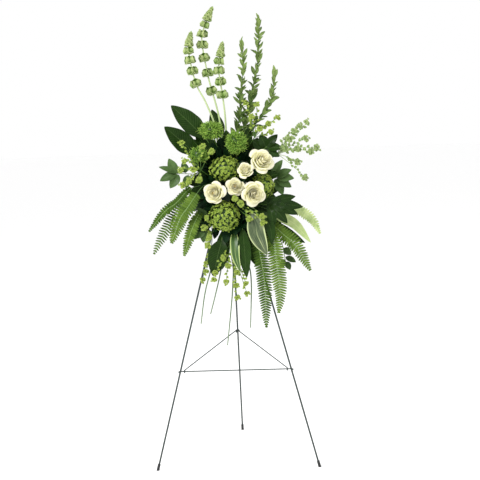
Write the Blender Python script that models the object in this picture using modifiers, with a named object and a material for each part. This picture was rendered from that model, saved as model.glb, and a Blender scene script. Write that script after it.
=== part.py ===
"""Standing funeral spray on a folding wire easel.

Metres, +Z up, the flowers face -Y and the single rear leg stands at +Y. Everything is laid out in
the easel's own frame, whose plan origin lies under the top bar. PLAN_SHIFT then moves the whole
thing so that the middle of its bounding box stands over the world origin.
"""

import math
from random import Random

import bmesh
import bpy
from mathutils import Matrix, Vector
from mathutils.bvhtree import BVHTree

# Whole object
PLAN_SHIFT = Vector((-0.013, -0.038, 0.0))
GAP = 0.0003

# Easel wire and its main points
LEG_WIRE = 0.0032
BRACE_WIRE = 0.0022
HINGE = Vector((0.0, 0.0, 1.0))
TOP_BAR_HALF = 0.031
LEG_TOP_X = 0.022
FRONT_FOOT = Vector((0.284, -0.155, 0.0))
BACK_FOOT = Vector((0.0, 0.294, 0.0))
CROSSBAR_HEIGHT = 0.338
APEX_HEIGHT = 0.421
BRACE_EYE_X = 0.181
EYE_WRAP = math.radians(230)
HOOK_WRAP = math.radians(200)
WIRE_SIDES = 8
THIN_SIDES = 6

# Crossbar and brace: the bar's hooks stand a little off the legs
HOOK_ROOM = 0.0007
BAR_OFFSET = LEG_WIRE + BRACE_WIRE + GAP + HOOK_ROOM
BAR_HOOK_START = math.radians(90)
BAR_HOOK_WRAP = math.radians(200)

# Foot tips: a cup that is cut level with the floor
TIP_RADIUS = 0.0052
TIP_HEIGHT = 0.022
TIP_FLOOR = 0.006
TIP_BELOW = 0.006
TIP_BORE = LEG_WIRE + GAP + 0.0001

# Foam and its tray, in the holder's frame: x, up the leaning easel, forward of the top bar
FOAM_HALF_WIDTH = 0.055
FOAM_HALF_HEIGHT = 0.115
FOAM_DEPTH = 0.080
FOAM_BELOW_BAR = 0.045
TRAY_WALL = 0.0018
TRAY_DEPTH = 0.021
HOOK_X = 0.0112
HOOK_WIDTH = 0.0070
HOOK_THICK = 0.0020
HOOK_OVER = LEG_WIRE + GAP + 0.0003 + HOOK_THICK / 2
STRAP_WRAP = math.radians(120)
FOAM_BEVEL = 0.002
STEM_DEPTH = 0.026
HOLE_FLOOR = 0.0010
HOLE_MOUTH = 0.002

# Plants: thickness of petals and leaves, and the rhythm of the spikes
PETAL_THICK = 0.0011
BLADE_THICK = 0.0009
LEAF_THICK = 0.0016
LOBE_THICK = 0.0020
STAR_THICK = 0.0024
STAR_SIZE = 0.0105
CALYX_LENGTH = 0.016
CUPS_IN_WHORL = 3
CUP_RADIUS = 0.0100
CUP_DEPTH = 0.0200
FIRST_WHORL = 0.014
WHORL_STEP = 0.024
WHORL_GROWTH = 1.18
SPIKE_LEAF = 0.036
SPIKE_TURN = math.radians(137.5)
SHARP_EDGE = math.radians(35)

CLEARANCE = 0.0004
TAU = 2 * math.pi

GREENS = {
    "wire": ((0.075, 0.085, 0.080), 0.45, 0.3),
    "tip": ((0.020, 0.022, 0.022), 0.80, 0.0),
    "foam": ((0.045, 0.130, 0.060), 0.95, 0.0),
    "tray": ((0.030, 0.070, 0.035), 0.55, 0.0),
    "bells": ((0.300, 0.480, 0.140), 0.55, 0.0),
    "spike": ((0.090, 0.220, 0.060), 0.55, 0.0),
    "dark_leaf": ((0.020, 0.075, 0.028), 0.35, 0.0),
    "fern": ((0.110, 0.260, 0.070), 0.60, 0.0),
    "pale_leaf": ((0.280, 0.400, 0.160), 0.55, 0.0),
    "striped_leaf": ((0.240, 0.340, 0.150), 0.50, 0.0),
    "fuzzy": ((0.120, 0.300, 0.050), 0.80, 0.0),
    "lime": ((0.250, 0.380, 0.080), 0.70, 0.0),
    "cream": ((0.860, 0.820, 0.640), 0.55, 0.0),
    "filler": ((0.260, 0.380, 0.120), 0.65, 0.0),
    "grass": ((0.160, 0.210, 0.140), 0.60, 0.0),
}

placed = {}
stem_holes = []


def start_scene():
    """An empty scene with one collection for the object and one for its cutters."""
    for item in list(bpy.data.objects):
        bpy.data.objects.remove(item)
    made = []
    for name in ("funeral_spray", "cutters"):
        group = bpy.data.collections.new(name)
        bpy.context.scene.collection.children.link(group)
        made.append(group)
    return made


def make_material(name):
    """A plain paint from the table of colours, roughness and metallic values."""
    colour, roughness, metallic = GREENS[name]
    made = bpy.data.materials.new(name)
    made.use_nodes = True
    shader = made.node_tree.nodes["Principled BSDF"]
    shader.inputs["Base Color"].default_value = (*colour, 1.0)
    shader.inputs["Roughness"].default_value = roughness
    shader.inputs["Metallic"].default_value = metallic
    return made


def make_empty(name, place, parent=None):
    """A pivot: an empty on a joint's axis or over the plan's middle."""
    made = bpy.data.objects.new(name, None)
    spray_collection.objects.link(made)
    made.location = place
    made.parent = parent
    return made


def add_node(name, mesh, material, pivot=None):
    """One finished sub-part. Its mesh is in the easel's frame, whatever its pivot."""
    node = bpy.data.objects.new(name, mesh)
    spray_collection.objects.link(node)
    node.parent = pivot or root
    node.location = -pivot.location if pivot else (0, 0, 0)
    mesh.materials.clear()
    mesh.materials.append(materials[material])
    mesh.shade_smooth()
    mesh.set_sharp_from_angle(angle=SHARP_EDGE)
    shape = bmesh.new()
    shape.from_mesh(mesh)
    placed[name] = BVHTree.FromBMesh(shape)
    shape.free()
    return node


# Small maths


def unit(vector):
    """The vector's direction, with length one."""
    return Vector(vector).normalized()


def frame_at(place, along, face):
    """A placing matrix: local X along the piece, local Z as near to face as it can be."""
    x = unit(along)
    y = unit(Vector(face).cross(x))
    z = x.cross(y)
    turned = Matrix((x, y, z)).transposed().to_4x4()
    return Matrix.Translation(place) @ turned


def smooth_route(points, steps):
    """Points on a Catmull-Rom curve through the given ones, with so many steps a span."""
    knots = [Vector(p) for p in points]
    knots = [2 * knots[0] - knots[1], *knots, 2 * knots[-1] - knots[-2]]
    found = []
    for a, b, c, d in zip(knots, knots[1:], knots[2:], knots[3:]):
        for step in range(steps):
            t = step / steps
            found.append(
                0.5 * (2 * b + (c - a) * t + (2 * a - 5 * b + 4 * c - d) * t * t
                       + (3 * b - a - 3 * c + d) * t ** 3)
            )
    return found + [knots[-2]]


def point_along(path, distance):
    """Place and direction at a distance along a path, negative from its end."""
    lengths = [(b - a).length for a, b in zip(path, path[1:])]
    left = distance if distance >= 0 else sum(lengths) + distance
    for a, b, length in zip(path, path[1:], lengths):
        if left <= length:
            return a.lerp(b, left / length), unit(b - a)
        left -= length
    return path[-1], unit(path[-1] - path[-2])


def nearest_on(path, place):
    """The point of a path, read every half millimetre or so, that lies nearest to a place."""
    total = length_of(path)
    return min((point_along(path, total * k / 300)[0] for k in range(301)),
               key=lambda p: (p - place).length)


def length_of(path):
    """The length of a run of straight pieces."""
    return sum((b - a).length for a, b in zip(path, path[1:]))


def spread(count, turn=0.0):
    """Directions spread evenly over a ball, on a golden spiral."""
    for k in range(count):
        height = 1 - (2 * k + 1) / count
        ring = math.sqrt(1 - height * height)
        angle = turn + k * math.pi * (3 - math.sqrt(5))
        yield Vector((ring * math.cos(angle), height, ring * math.sin(angle)))


def around(along, angle):
    """A unit vector square to a direction, at an angle round it."""
    side = unit(along.cross((0.31, -0.87, 0.38)))
    return Matrix.Rotation(angle, 3, along) @ side


def tangent_angle(centre, point, radius, side):
    """Where on a circle a straight run to a point leaves it, as an angle in the circle's plane."""
    gap = Vector(point) - Vector(centre)
    return math.atan2(gap.y, gap.x) + side * math.acos(radius / gap.length)


# Pieces: each function gives one closed mesh in the easel's frame


def mesh_from(shape):
    """A welded mesh from a bmesh, its faces turned outwards."""
    bmesh.ops.remove_doubles(shape, verts=shape.verts, dist=1e-7)
    bmesh.ops.recalc_face_normals(shape, faces=shape.faces)
    mesh = bpy.data.meshes.new("piece")
    shape.to_mesh(mesh)
    shape.free()
    return mesh


def tube(points, radii, sides=4):
    """A round wire or stem through the points, thinning with its radii, with closed ends."""
    data = bpy.data.curves.new("stem", "CURVE")
    data.dimensions = "3D"
    data.bevel_depth = 1.0
    data.bevel_resolution = (sides - 4) // 2
    data.use_fill_caps = True
    spline = data.splines.new("POLY")
    spline.points.add(len(points) - 1)
    if isinstance(radii, float):
        radii = [radii] * len(points)
    for knot, place, radius in zip(spline.points, points, radii):
        knot.co = (*place, 1.0)
        knot.radius = radius
    guide = bpy.data.objects.new("stem", data)
    shape = bmesh.new()
    drawn = bpy.data.meshes.new_from_object(guide)
    shape.from_mesh(drawn)
    bpy.data.objects.remove(guide)
    bpy.data.curves.remove(data)
    bpy.data.meshes.remove(drawn)
    return mesh_from(shape)


def taper(first, last, count):
    """Radii in equal steps from one to another."""
    return [first + (last - first) * k / (count - 1) for k in range(count)]


def leaf(base, tip, width, face, thick, corners=6):
    """A small leaf as a flat bipyramid from base to tip, with 4 or 6 corners round its edge."""
    base, tip = Vector(base), Vector(tip)
    shape = bmesh.new()
    bmesh.ops.create_uvsphere(shape, u_segments=corners, v_segments=2, radius=1.0)
    size = Matrix.Diagonal(((tip - base).length / 2, width / 2, thick / 2, 1.0))
    shape.transform(frame_at((base + tip) / 2, tip - base, face) @ size)
    return mesh_from(shape)


def rooted_leaf(place, tip, width):
    """A leaf whose base lies a little past the middle of the twig that it grows from."""
    return leaf(place - unit(tip - place) * 0.0035, tip, width, (0.1, -1, 0.3), LEAF_THICK)


def star(centre, axis, radius, thick, points, notch, turn=0.0, heel=1.0):
    """A floret: a flat bipyramid whose every other corner is drawn in, on a heel behind it."""
    shape = bmesh.new()
    bmesh.ops.create_uvsphere(shape, u_segments=2 * points, v_segments=2, radius=1.0)
    rim = [v for v in shape.verts if abs(v.co.z) < 0.5]
    rim.sort(key=lambda v: math.atan2(v.co.y, v.co.x))
    for vertex in rim[::2]:
        vertex.co *= notch
    for vertex in shape.verts:
        if vertex.co.z < -0.5:
            vertex.co.z *= heel
    size = Matrix.Diagonal((radius, radius, thick, 1.0))
    spin = Matrix.Rotation(turn, 4, "Z")
    side = around(unit(axis), 0.0)
    shape.transform(frame_at(centre, side, axis) @ size @ spin)
    return mesh_from(shape)


def cup(place, axis, radius, depth):
    """A bell-shaped calyx: a five-sided cone with its mouth dished in."""
    shape = bmesh.new()
    bmesh.ops.create_cone(
        shape, cap_ends=True, cap_tris=True, segments=5,
        radius1=0.0, radius2=radius, depth=depth,
        matrix=Matrix.Translation((0, 0, depth / 2)),
    )
    for vertex in shape.verts:
        if vertex.co.z > 0.9 * depth and vertex.co.xy.length < 0.1 * radius:
            vertex.co.z = 0.45 * depth
    side = around(unit(axis), 0.0)
    shape.transform(frame_at(place, side, axis))
    return mesh_from(shape)


def needle(place, axis, radius, length):
    """A three-sided spine that stands on a place along an axis."""
    shape = bmesh.new()
    bmesh.ops.create_cone(
        shape, cap_ends=True, segments=3, radius1=radius, radius2=0.0, depth=length,
        matrix=Matrix.Translation((0, 0, length / 2)),
    )
    shape.transform(frame_at(place, around(unit(axis), 0.0), axis))
    return mesh_from(shape)


def twig_run(line):
    """A thin branch: three-sided when it is straight, a bent wire otherwise."""
    if len(line) > 2:
        return tube(line, taper(0.0014, 0.0009, len(line)))
    along = line[1] - line[0]
    shape = bmesh.new()
    bmesh.ops.create_cone(
        shape, cap_ends=True, segments=3, radius1=0.0016, radius2=0.0009, depth=along.length,
        matrix=Matrix.Translation((0, 0, along.length / 2)),
    )
    shape.transform(frame_at(line[0], around(unit(along), 0.0), along))
    return mesh_from(shape)


def ball(centre, radii):
    """The smaller core inside a dense head."""
    shape = bmesh.new()
    bmesh.ops.create_icosphere(shape, subdivisions=1, radius=1.0)
    shape.transform(Matrix.Translation(centre) @ Matrix.Diagonal((*radii, 1.0)))
    return mesh_from(shape)


def solidified(shape, thick):
    """A thin wall on both sides of an open surface, split into triangles alike on both faces."""
    bmesh.ops.triangulate(shape, faces=shape.faces)
    sheet = bpy.data.meshes.new("sheet")
    shape.to_mesh(sheet)
    shape.free()
    holder = bpy.data.objects.new("sheet", sheet)
    spray_collection.objects.link(holder)
    wall = holder.modifiers.new("wall", "SOLIDIFY")
    wall.thickness = thick
    wall.offset = 0.0
    graph = bpy.context.evaluated_depsgraph_get()
    made = bpy.data.meshes.new_from_object(holder.evaluated_get(graph))
    bpy.data.objects.remove(holder)
    bpy.data.meshes.remove(sheet)
    closed = bmesh.new()
    closed.from_mesh(made)
    bpy.data.meshes.remove(made)
    return mesh_from(closed)


def sheet_along(path, half_width, face, columns, rows, fold=0.0):
    """A thin blade: a grid whose length runs along the path and whose width is half_width(t)."""
    shape = bmesh.new()
    bmesh.ops.create_grid(shape, x_segments=columns, y_segments=rows, size=1.0)
    total = length_of(path)
    for vertex in shape.verts:
        t, v = (vertex.co.x + 1) / 2, vertex.co.y
        place, along = point_along(path, t * total)
        side = unit(along.cross(face))
        normal = unit(side.cross(along))
        wide, shift = half_width(t)
        vertex.co = place + side * wide * v + normal * fold * wide * abs(v) + along * shift * abs(v)
    return solidified(shape, BLADE_THICK)


def lance(width):
    """Half-width of a leaf that is widest at two fifths of its length and pointed at its tip."""
    def half(t):
        rise = t / 0.4 if t < 0.4 else (1 - t) / (1 - 0.4)
        return 0.0012 + (width / 2 - 0.0012) * math.sin(rise * math.pi / 2) ** 0.8, 0.0
    return half


def teeth(width, pairs):
    """Half-width of a fern: leaflets cut to the rib, which slant towards the tip."""
    def half(t):
        k = round(t * 2 * pairs)
        swell = math.sin(math.pi * (0.16 + 0.78 * t)) ** 0.7
        if k % 2 == 0 or k == 0:
            return 0.0012, 0.0
        return 0.5 * width * swell, 0.006
    return half


# Joining and keeping clear


def is_clear(mesh, skip=()):
    """Whether a piece, grown by the clearance, misses every node that is already placed."""
    shape = bmesh.new()
    shape.from_mesh(mesh)
    shape.normal_update()
    grown = [v.co + v.normal * CLEARANCE for v in shape.verts]
    for vertex, place in zip(shape.verts, grown):
        vertex.co = place
    tree = BVHTree.FromBMesh(shape)
    shape.free()
    return not any(tree.overlap(other) for name, other in placed.items() if name not in skip)


def first_clear(make, tries, skip=()):
    """The first of several versions of a piece that misses its neighbours, in a list, or none."""
    for value in tries:
        mesh = make(value)
        if is_clear(mesh, skip):
            return [mesh]
        bpy.data.meshes.remove(mesh)
    return []


def fuse(meshes, solver="EXACT", keep=0.84):
    """One body from overlapping pieces, by one Boolean union, less the smallest of the slivers."""
    pieces = [bpy.data.objects.new("piece", mesh) for mesh in meshes]
    crowd = bpy.data.collections.new("crowd")
    bpy.context.scene.collection.children.link(crowd)
    for piece in pieces[1:]:
        crowd.objects.link(piece)
    spray_collection.objects.link(pieces[0])
    join = pieces[0].modifiers.new("join", "BOOLEAN")
    join.operation = "UNION"
    join.solver = solver
    join.operand_type = "COLLECTION"
    join.collection = crowd
    trim = pieces[0].modifiers.new("trim", "DECIMATE")
    trim.ratio = keep
    graph = bpy.context.evaluated_depsgraph_get()
    made = bpy.data.meshes.new_from_object(pieces[0].evaluated_get(graph))
    for piece in pieces:
        bpy.data.objects.remove(piece)
    bpy.data.collections.remove(crowd)
    for mesh in meshes:
        bpy.data.meshes.remove(mesh)
    return made


# The holder's frame: it leans with the front legs


def plane_run(centre, point, radius, side):
    """The straight run, in a plane, from a circle round a wire to a point."""
    angle = tangent_angle(centre, point, radius, side)
    touch = Vector(centre) + radius * Vector((math.cos(angle), math.sin(angle)))
    return angle, touch


EYE = 2 * LEG_WIRE + GAP
FRONT_ANGLE, FRONT_TOUCH = plane_run((0, HINGE.z), (FRONT_FOOT.y, 0), EYE, -1)
BACK_ANGLE, BACK_TOUCH = plane_run((0, HINGE.z), (BACK_FOOT.y, 0), EYE, 1)
LEAN = unit((0, FRONT_TOUCH.x - FRONT_FOOT.y, FRONT_TOUCH.y))
FORWARD = unit(LEAN.cross((-1, 0, 0)))
FOAM_BACK = EYE + LEG_WIRE + GAP + TRAY_WALL + GAP


def holder(x, up, forward):
    """A point in the holder's frame, as a point in the easel's."""
    return HINGE + Vector((x, 0, 0)) + LEAN * (up - FOAM_BELOW_BAR) + FORWARD * forward


def socket(face, a, b):
    """A stem's entry on a face of the foam, with the direction into the foam."""
    front = FOAM_BACK + FOAM_DEPTH
    sides = {
        "front": (holder(a, b, front), -FORWARD),
        "top": (holder(a, FOAM_HALF_HEIGHT, b), -LEAN),
        "bottom": (holder(a, -FOAM_HALF_HEIGHT, b), LEAN),
        "left": (holder(-FOAM_HALF_WIDTH, a, b), Vector((1, 0, 0))),
        "right": (holder(FOAM_HALF_WIDTH, a, b), Vector((-1, 0, 0))),
    }
    return sides[face]


def stem_path(root_at, route, steps=3):
    """A stem from the bottom of its hole, straight out of the foam, then along its route."""
    entry, inward = socket(*root_at)
    smooth = smooth_route([entry - inward * 0.004, *route], steps)
    return [entry + inward * STEM_DEPTH, *smooth]


def drill(root_at, radius):
    """Keeps a plain hole for a stem, a little wider and deeper than the stem."""
    entry, inward = socket(*root_at)
    stem_holes.append((entry, inward, radius * 1.45 + 0.0006))


def stem_of(name, root_at, route, radius, end_radius=None, steps=3):
    """The path and the mesh of a plant's main stem, with its hole in the foam."""
    path = stem_path(root_at, route, steps)
    radii = taper(radius, end_radius or radius, len(path))
    drill(root_at, radius)
    mesh = tube(path, radii)
    if not is_clear(mesh, ("foam_brick",)):
        print("stem touches:", name, [k for k in placed if k != "foam_brick"
                                      and not is_clear_of(mesh, k)])
    return path, mesh


def is_clear_of(mesh, name):
    """Whether a piece misses one node that is already placed."""
    shape = bmesh.new()
    shape.from_mesh(mesh)
    tree = BVHTree.FromBMesh(shape)
    shape.free()
    return not tree.overlap(placed[name])


# Easel


def arc(centre, radius, start, end, x):
    """Points round a wire that runs along X, from one angle to another."""
    steps = max(4, round(abs(end - start) / math.radians(36)))
    angles = [start + (end - start) * k / steps for k in range(steps + 1)]
    return [Vector((x, centre[0] + radius * math.cos(a), centre[1] + radius * math.sin(a)))
            for a in angles]


def leg_line(x_top, foot, angle, touch, wrap):
    """A leg from its open eye on the top bar to just above the floor of its foot tip."""
    eye = arc((0, HINGE.z), EYE, angle + wrap, angle, x_top)
    start = Vector((x_top, touch.x, touch.y))
    end = foot + unit(start - foot) * (TIP_FLOOR + GAP)
    return [*eye, end]


def foot_tip(foot, top):
    """A turned cup for a leg's end, cut level with the floor."""
    along = unit(top - foot)
    shape = bmesh.new()
    bmesh.ops.create_cone(shape, cap_ends=True, segments=12, radius1=TIP_RADIUS,
                          radius2=TIP_RADIUS, depth=TIP_HEIGHT + TIP_BELOW,
                          matrix=Matrix.Translation((0, 0, (TIP_HEIGHT - TIP_BELOW) / 2)))
    top_face = [f for f in shape.faces if f.normal.z > 0.9]
    bmesh.ops.inset_individual(shape, faces=top_face, thickness=TIP_RADIUS - TIP_BORE)
    bored = bmesh.ops.extrude_discrete_faces(shape, faces=top_face)["faces"]
    for vertex in {v for f in bored for v in f.verts}:
        vertex.co.z = TIP_FLOOR
    shape.transform(frame_at(foot, around(along, 0.0), along))
    whole = shape.verts[:] + shape.edges[:] + shape.faces[:]
    cut = bmesh.ops.bisect_plane(shape, geom=whole, plane_co=(0, 0, 0), plane_no=(0, 0, -1),
                                 clear_outer=True)["geom_cut"]
    rim = [e for e in cut if isinstance(e, bmesh.types.BMEdge)]
    bmesh.ops.holes_fill(shape, edges=rim)
    return mesh_from(shape)


def make_easel():
    """Top bar, front legs with their tips, rear leg on its pivot, crossbar and brace."""
    bar = [HINGE + Vector((x, 0, 0)) for x in (-TOP_BAR_HALF, TOP_BAR_HALF)]
    add_node("top_bar", tube(bar, LEG_WIRE, WIRE_SIDES + 4), "wire")
    front_points = {}
    for side, sign in (("left", -1), ("right", 1)):
        foot = Vector((sign * FRONT_FOOT.x, FRONT_FOOT.y, 0))
        line = leg_line(sign * LEG_TOP_X, foot, FRONT_ANGLE, FRONT_TOUCH, -EYE_WRAP)
        add_node(f"front_leg_{side}", tube(line, LEG_WIRE, WIRE_SIDES), "wire")
        add_node(f"foot_tip_{side}", foot_tip(foot, line[-2]), "tip")
        front_points[side] = (foot, line[-2])
    line = leg_line(0.0, BACK_FOOT, BACK_ANGLE, BACK_TOUCH, EYE_WRAP)
    add_node("back_leg", tube(line, LEG_WIRE, WIRE_SIDES), "wire", back_pivot)
    add_node("foot_tip_back", foot_tip(BACK_FOOT, line[-2]), "tip", back_pivot)
    make_crossbar(front_points)
    make_brace(BACK_FOOT, line[-2])


def on_leg(foot, top, height):
    """The middle of a leg's wire at a height."""
    return foot.lerp(top, height / top.z)


def make_crossbar(front_points):
    """A wire behind the front legs, hooked round each of them from the outside."""
    right = on_leg(*front_points["right"], CROSSBAR_HEIGHT)
    half = [Vector((0, crossbar_axis.y, CROSSBAR_HEIGHT))]
    for step in range(6):
        angle = BAR_HOOK_START - BAR_HOOK_WRAP * step / 5
        half.append(right + BAR_OFFSET * Vector((math.cos(angle), math.sin(angle), 0)))
    left = [Vector((-p.x, p.y, p.z)) for p in reversed(half[1:])]
    add_node("crossbar", tube(left + half[1:], BRACE_WIRE, THIN_SIDES), "wire")


def make_brace(foot, top):
    """Two arms from open eyes on the crossbar to open hooks behind the rear leg."""
    eye = 2 * BRACE_WIRE + GAP
    hook = LEG_WIRE + BRACE_WIRE + 2 * GAP
    apex = on_leg(foot, top, APEX_HEIGHT)
    leg_up = unit(top - foot)
    for side, sign, level in (("left", -1, 1), ("right", 1, -1)):
        centre = apex + leg_up * level * (BRACE_WIRE + GAP / 2)
        flat_centre = (crossbar_axis.y, crossbar_axis.z)
        angle, touch = plane_run(flat_centre, (centre.y, centre.z), eye, 1)
        ring = arc(flat_centre, eye, angle + EYE_WRAP, angle, sign * BRACE_EYE_X)
        reach = (Vector((0, touch.x, touch.y)) - Vector((0, centre.y, centre.z))).length
        across = unit(Vector((0, centre.y, centre.z)) - Vector((0, touch.x, touch.y)))
        start = tangent_angle((0, 0), (-BRACE_EYE_X, -reach), hook, -1)
        bend = []
        for step in range(7):
            turn = start - HOOK_WRAP * step / 6
            bend.append(centre + Vector((-sign * hook * math.cos(turn), 0, 0))
                        + across * hook * math.sin(turn))
        add_node(f"brace_arm_{side}", tube(ring + bend, BRACE_WIRE, THIN_SIDES), "wire",
                 brace_pivot)


# Holder


def make_tray():
    """A shallow tray behind the foam with two straps that hook over the top bar."""
    shape = bmesh.new()
    bmesh.ops.create_cube(shape, size=2.0)
    front = [f for f in shape.faces if f.normal.y < -0.9]
    bmesh.ops.delete(shape, geom=front, context="FACES")
    back = FOAM_BACK - GAP - TRAY_WALL
    for vertex in shape.verts:
        x = vertex.co.x * (FOAM_HALF_WIDTH + GAP + TRAY_WALL / 2)
        up = vertex.co.z * (FOAM_HALF_HEIGHT + GAP + TRAY_WALL / 2)
        forward = back + TRAY_WALL / 2 if vertex.co.y > 0 else back + TRAY_DEPTH
        vertex.co = holder(x, up, forward)
    shell = solidified(shape, TRAY_WALL)
    straps = []
    for x in (-HOOK_X, HOOK_X):
        line = [holder(x, FOAM_BELOW_BAR + HOOK_OVER, back + TRAY_WALL / 2)]
        for step in range(6):
            angle = math.pi / 2 + STRAP_WRAP * step / 5
            line.append(holder(x, FOAM_BELOW_BAR + HOOK_OVER * math.sin(angle),
                               HOOK_OVER * math.cos(angle)))
        strip = bmesh.new()
        bmesh.ops.create_grid(strip, x_segments=len(line) - 1, y_segments=1, size=1.0)
        for vertex in strip.verts:
            k = round((vertex.co.x + 1) / 2 * (len(line) - 1))
            vertex.co = line[k] + Vector((vertex.co.y * HOOK_WIDTH / 2, 0, 0))
        straps.append(solidified(strip, HOOK_THICK))
    add_node("foam_tray", fuse([shell, *straps]), "tray")


def make_foam():
    """The wet foam brick, whose stem holes are drilled once all plants stand."""
    shape = bmesh.new()
    bmesh.ops.create_cube(shape, size=2.0)
    for vertex in shape.verts:
        forward = FOAM_BACK + (FOAM_DEPTH if vertex.co.y < 0 else 0.0)
        vertex.co = holder(vertex.co.x * FOAM_HALF_WIDTH, vertex.co.z * FOAM_HALF_HEIGHT, forward)
    bmesh.ops.bevel(shape, geom=shape.edges[:], offset=FOAM_BEVEL, segments=1, affect="EDGES")
    add_node("foam_brick", mesh_from(shape), "foam")


def drill_foam():
    """Cuts the stem holes that the plants asked for."""
    shape = bmesh.new()
    for entry, inward, radius in stem_holes:
        depth = STEM_DEPTH + HOLE_FLOOR
        bmesh.ops.create_cone(
            shape, cap_ends=True, segments=4, radius1=radius, radius2=radius,
            depth=depth + HOLE_MOUTH,
            matrix=frame_at(entry + inward * (depth - HOLE_MOUTH) / 2, around(inward, 0.0), inward),
        )
    cutter = bpy.data.objects.new("stem_hole_cutter", mesh_from(shape))
    cutter_collection.objects.link(cutter)
    cutter.parent = root
    cutter.hide_render = True
    cutter.display_type = "WIRE"
    cut = bpy.data.objects["foam_brick"].modifiers.new("stem_holes", "BOOLEAN")
    cut.operation = "DIFFERENCE"
    cut.object = cutter


# Flowers


def make_rose(name, centre, axis, radius, root_at, petals):
    """A bloom of cupped petals in rings that wind outwards, on its calyx and stem."""
    centre, axis = Vector(centre), unit(axis)
    heel = centre - axis * radius * 0.75
    _, stem = stem_of(name, root_at, [heel - axis * 0.012, heel + axis * 0.004], 0.0024)
    core = ball(heel + axis * radius * 0.34, [radius * 0.44] * 3)
    bud = ball(centre + axis * radius * 0.05, [radius * 0.30] * 3)
    parts = [core, bud, stem]
    side = around(axis, 0.4)
    up = axis.cross(side)
    for ring, count in enumerate(petals):
        reach = radius * (0.60, 1.0)[ring]
        tall = radius * (0.78, 0.42)[ring]
        width = 0.95 * math.pi / count
        for k in range(count):
            middle = TAU * (k + 0.5 * ring) / count
            parts += first_clear(
                lambda grow: petal(heel, axis, side, up, middle, width, reach * grow, tall, radius),
                (1.0, 0.88, 0.76),
            )
    add_node(name, fuse(parts, "MANIFOLD"), "cream")


def petal(heel, axis, side, up, middle, width, reach, tall, radius):
    """A petal: a patch round the axis that leaves the heel, cups out and curls at its rim."""
    shape = bmesh.new()
    bmesh.ops.create_grid(shape, x_segments=2, y_segments=2, size=1.0)
    for vertex in shape.verts:
        a, h = vertex.co.x, (vertex.co.y + 1) / 2
        angle = middle + a * width * (0.45 + 0.55 * h) * (1 - 0.18 * (h > 0.9) * abs(a))
        out = reach * (0.12 + 0.88 * math.sin(h * math.pi / 2)) * (1 + 0.07 * a)
        rise = (0.75 * radius + tall) * h * (1 - 0.10 * h * a * a)
        spoke = side * math.cos(angle) + up * math.sin(angle)
        vertex.co = heel + spoke * out + axis * rise
    return solidified(shape, PETAL_THICK)


def make_ball_flower(name, centre, radii, root_at, needles):
    """A fuzzy round head: three-sided needles on a core."""
    centre, radii = Vector(centre), Vector(radii)
    entry, inward = socket(*root_at)
    heel = centre + unit(entry - inward * 0.02 - centre) * min(radii) * 0.5
    _, stem = stem_of(name, root_at, [heel, centre], 0.0024, steps=2)
    parts = [ball(centre, radii * 0.66), stem]
    for way in spread(needles):
        out = Vector((way.x * radii.x, way.y * radii.y, way.z * radii.z))
        parts += first_clear(
            lambda grow: needle(centre + out * 0.50, out, radii.x * 0.13, out.length * 0.5 * grow),
            (1.0, 0.85, 0.7), ("foam_brick",),
        )
    add_node(name, fuse(parts, "MANIFOLD"), "fuzzy")


def make_floret_head(name, centre, radii, root_at, florets, size):
    """A domed head of four-petalled florets on a core."""
    centre, radii = Vector(centre), Vector(radii)
    entry, inward = socket(*root_at)
    heel = centre + unit(entry - inward * 0.02 - centre) * min(radii) * 0.6
    _, stem = stem_of(name, root_at, [heel, centre], 0.0028, steps=2)
    parts = [ball(centre, radii * 0.80), stem]
    for k, way in enumerate(spread(florets, 0.3)):
        out = Vector((way.x * radii.x, way.y * radii.y, way.z * radii.z))
        parts += first_clear(
            lambda pull: star(centre + out * (0.93 * pull), out, size, size * 0.25, 4, 0.42,
                              k * 1.1, heel=4.5),
            (1.0, 0.94), ("foam_brick",),
        )
    add_node(name, fuse(parts, "MANIFOLD"), "lime")


# Foliage


def make_bells(name, root_at, route, whorls):
    """A spike of bell calyces in whorls that open wider and further apart down the stem."""
    path, stem = stem_of(name, root_at, route, 0.0026, 0.0014, steps=2)
    parts = [stem]
    step, back = WHORL_STEP, FIRST_WHORL
    for k in range(whorls):
        place, along = point_along(path, -back)
        grown = min(1.0, 0.52 + 0.12 * k)
        for j in range(CUPS_IN_WHORL):
            out = around(along, TAU * j / CUPS_IN_WHORL + 0.7 * k)
            for lean in (0.62, 0.95, 0.35):
                axis = unit(along * lean + out * 0.85)
                found = first_clear(
                    lambda s: cup(place + out * GAP, axis, CUP_RADIUS * s, CUP_DEPTH * s),
                    (grown, grown * 0.8),
                )
                if found:
                    parts += found
                    break
        back += step
        step *= WHORL_GROWTH
    tip = point_along(path, -0.004)
    parts.append(needle(*tip, 0.0042, CALYX_LENGTH))
    add_node(name, fuse(parts), "bells")


def make_leafy_spike(name, root_at, route, leaves, bare):
    """An upright stem with lance leaves that wind round it and point up."""
    path, stem = stem_of(name, root_at, route, 0.0024, 0.0012, steps=2)
    parts = [stem]
    total = length_of(path) - bare
    for k in range(leaves):
        t = (k + 0.5) / leaves
        place, along = point_along(path, bare + t * total * 0.98)
        out = around(along, k * SPIKE_TURN)
        size = SPIKE_LEAF * (1 - 0.30 * t)
        for lean in (0.95, 1.5, 2.4):
            way = unit(along * lean + out)
            found = first_clear(
                lambda s: leaf(place - way * 0.001, place + way * s, s * 0.27, out, LEAF_THICK, 4),
                (size, size * 0.75),
            )
            if found:
                parts += found
                break
    add_node(name, fuse(parts), "spike")


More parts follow.
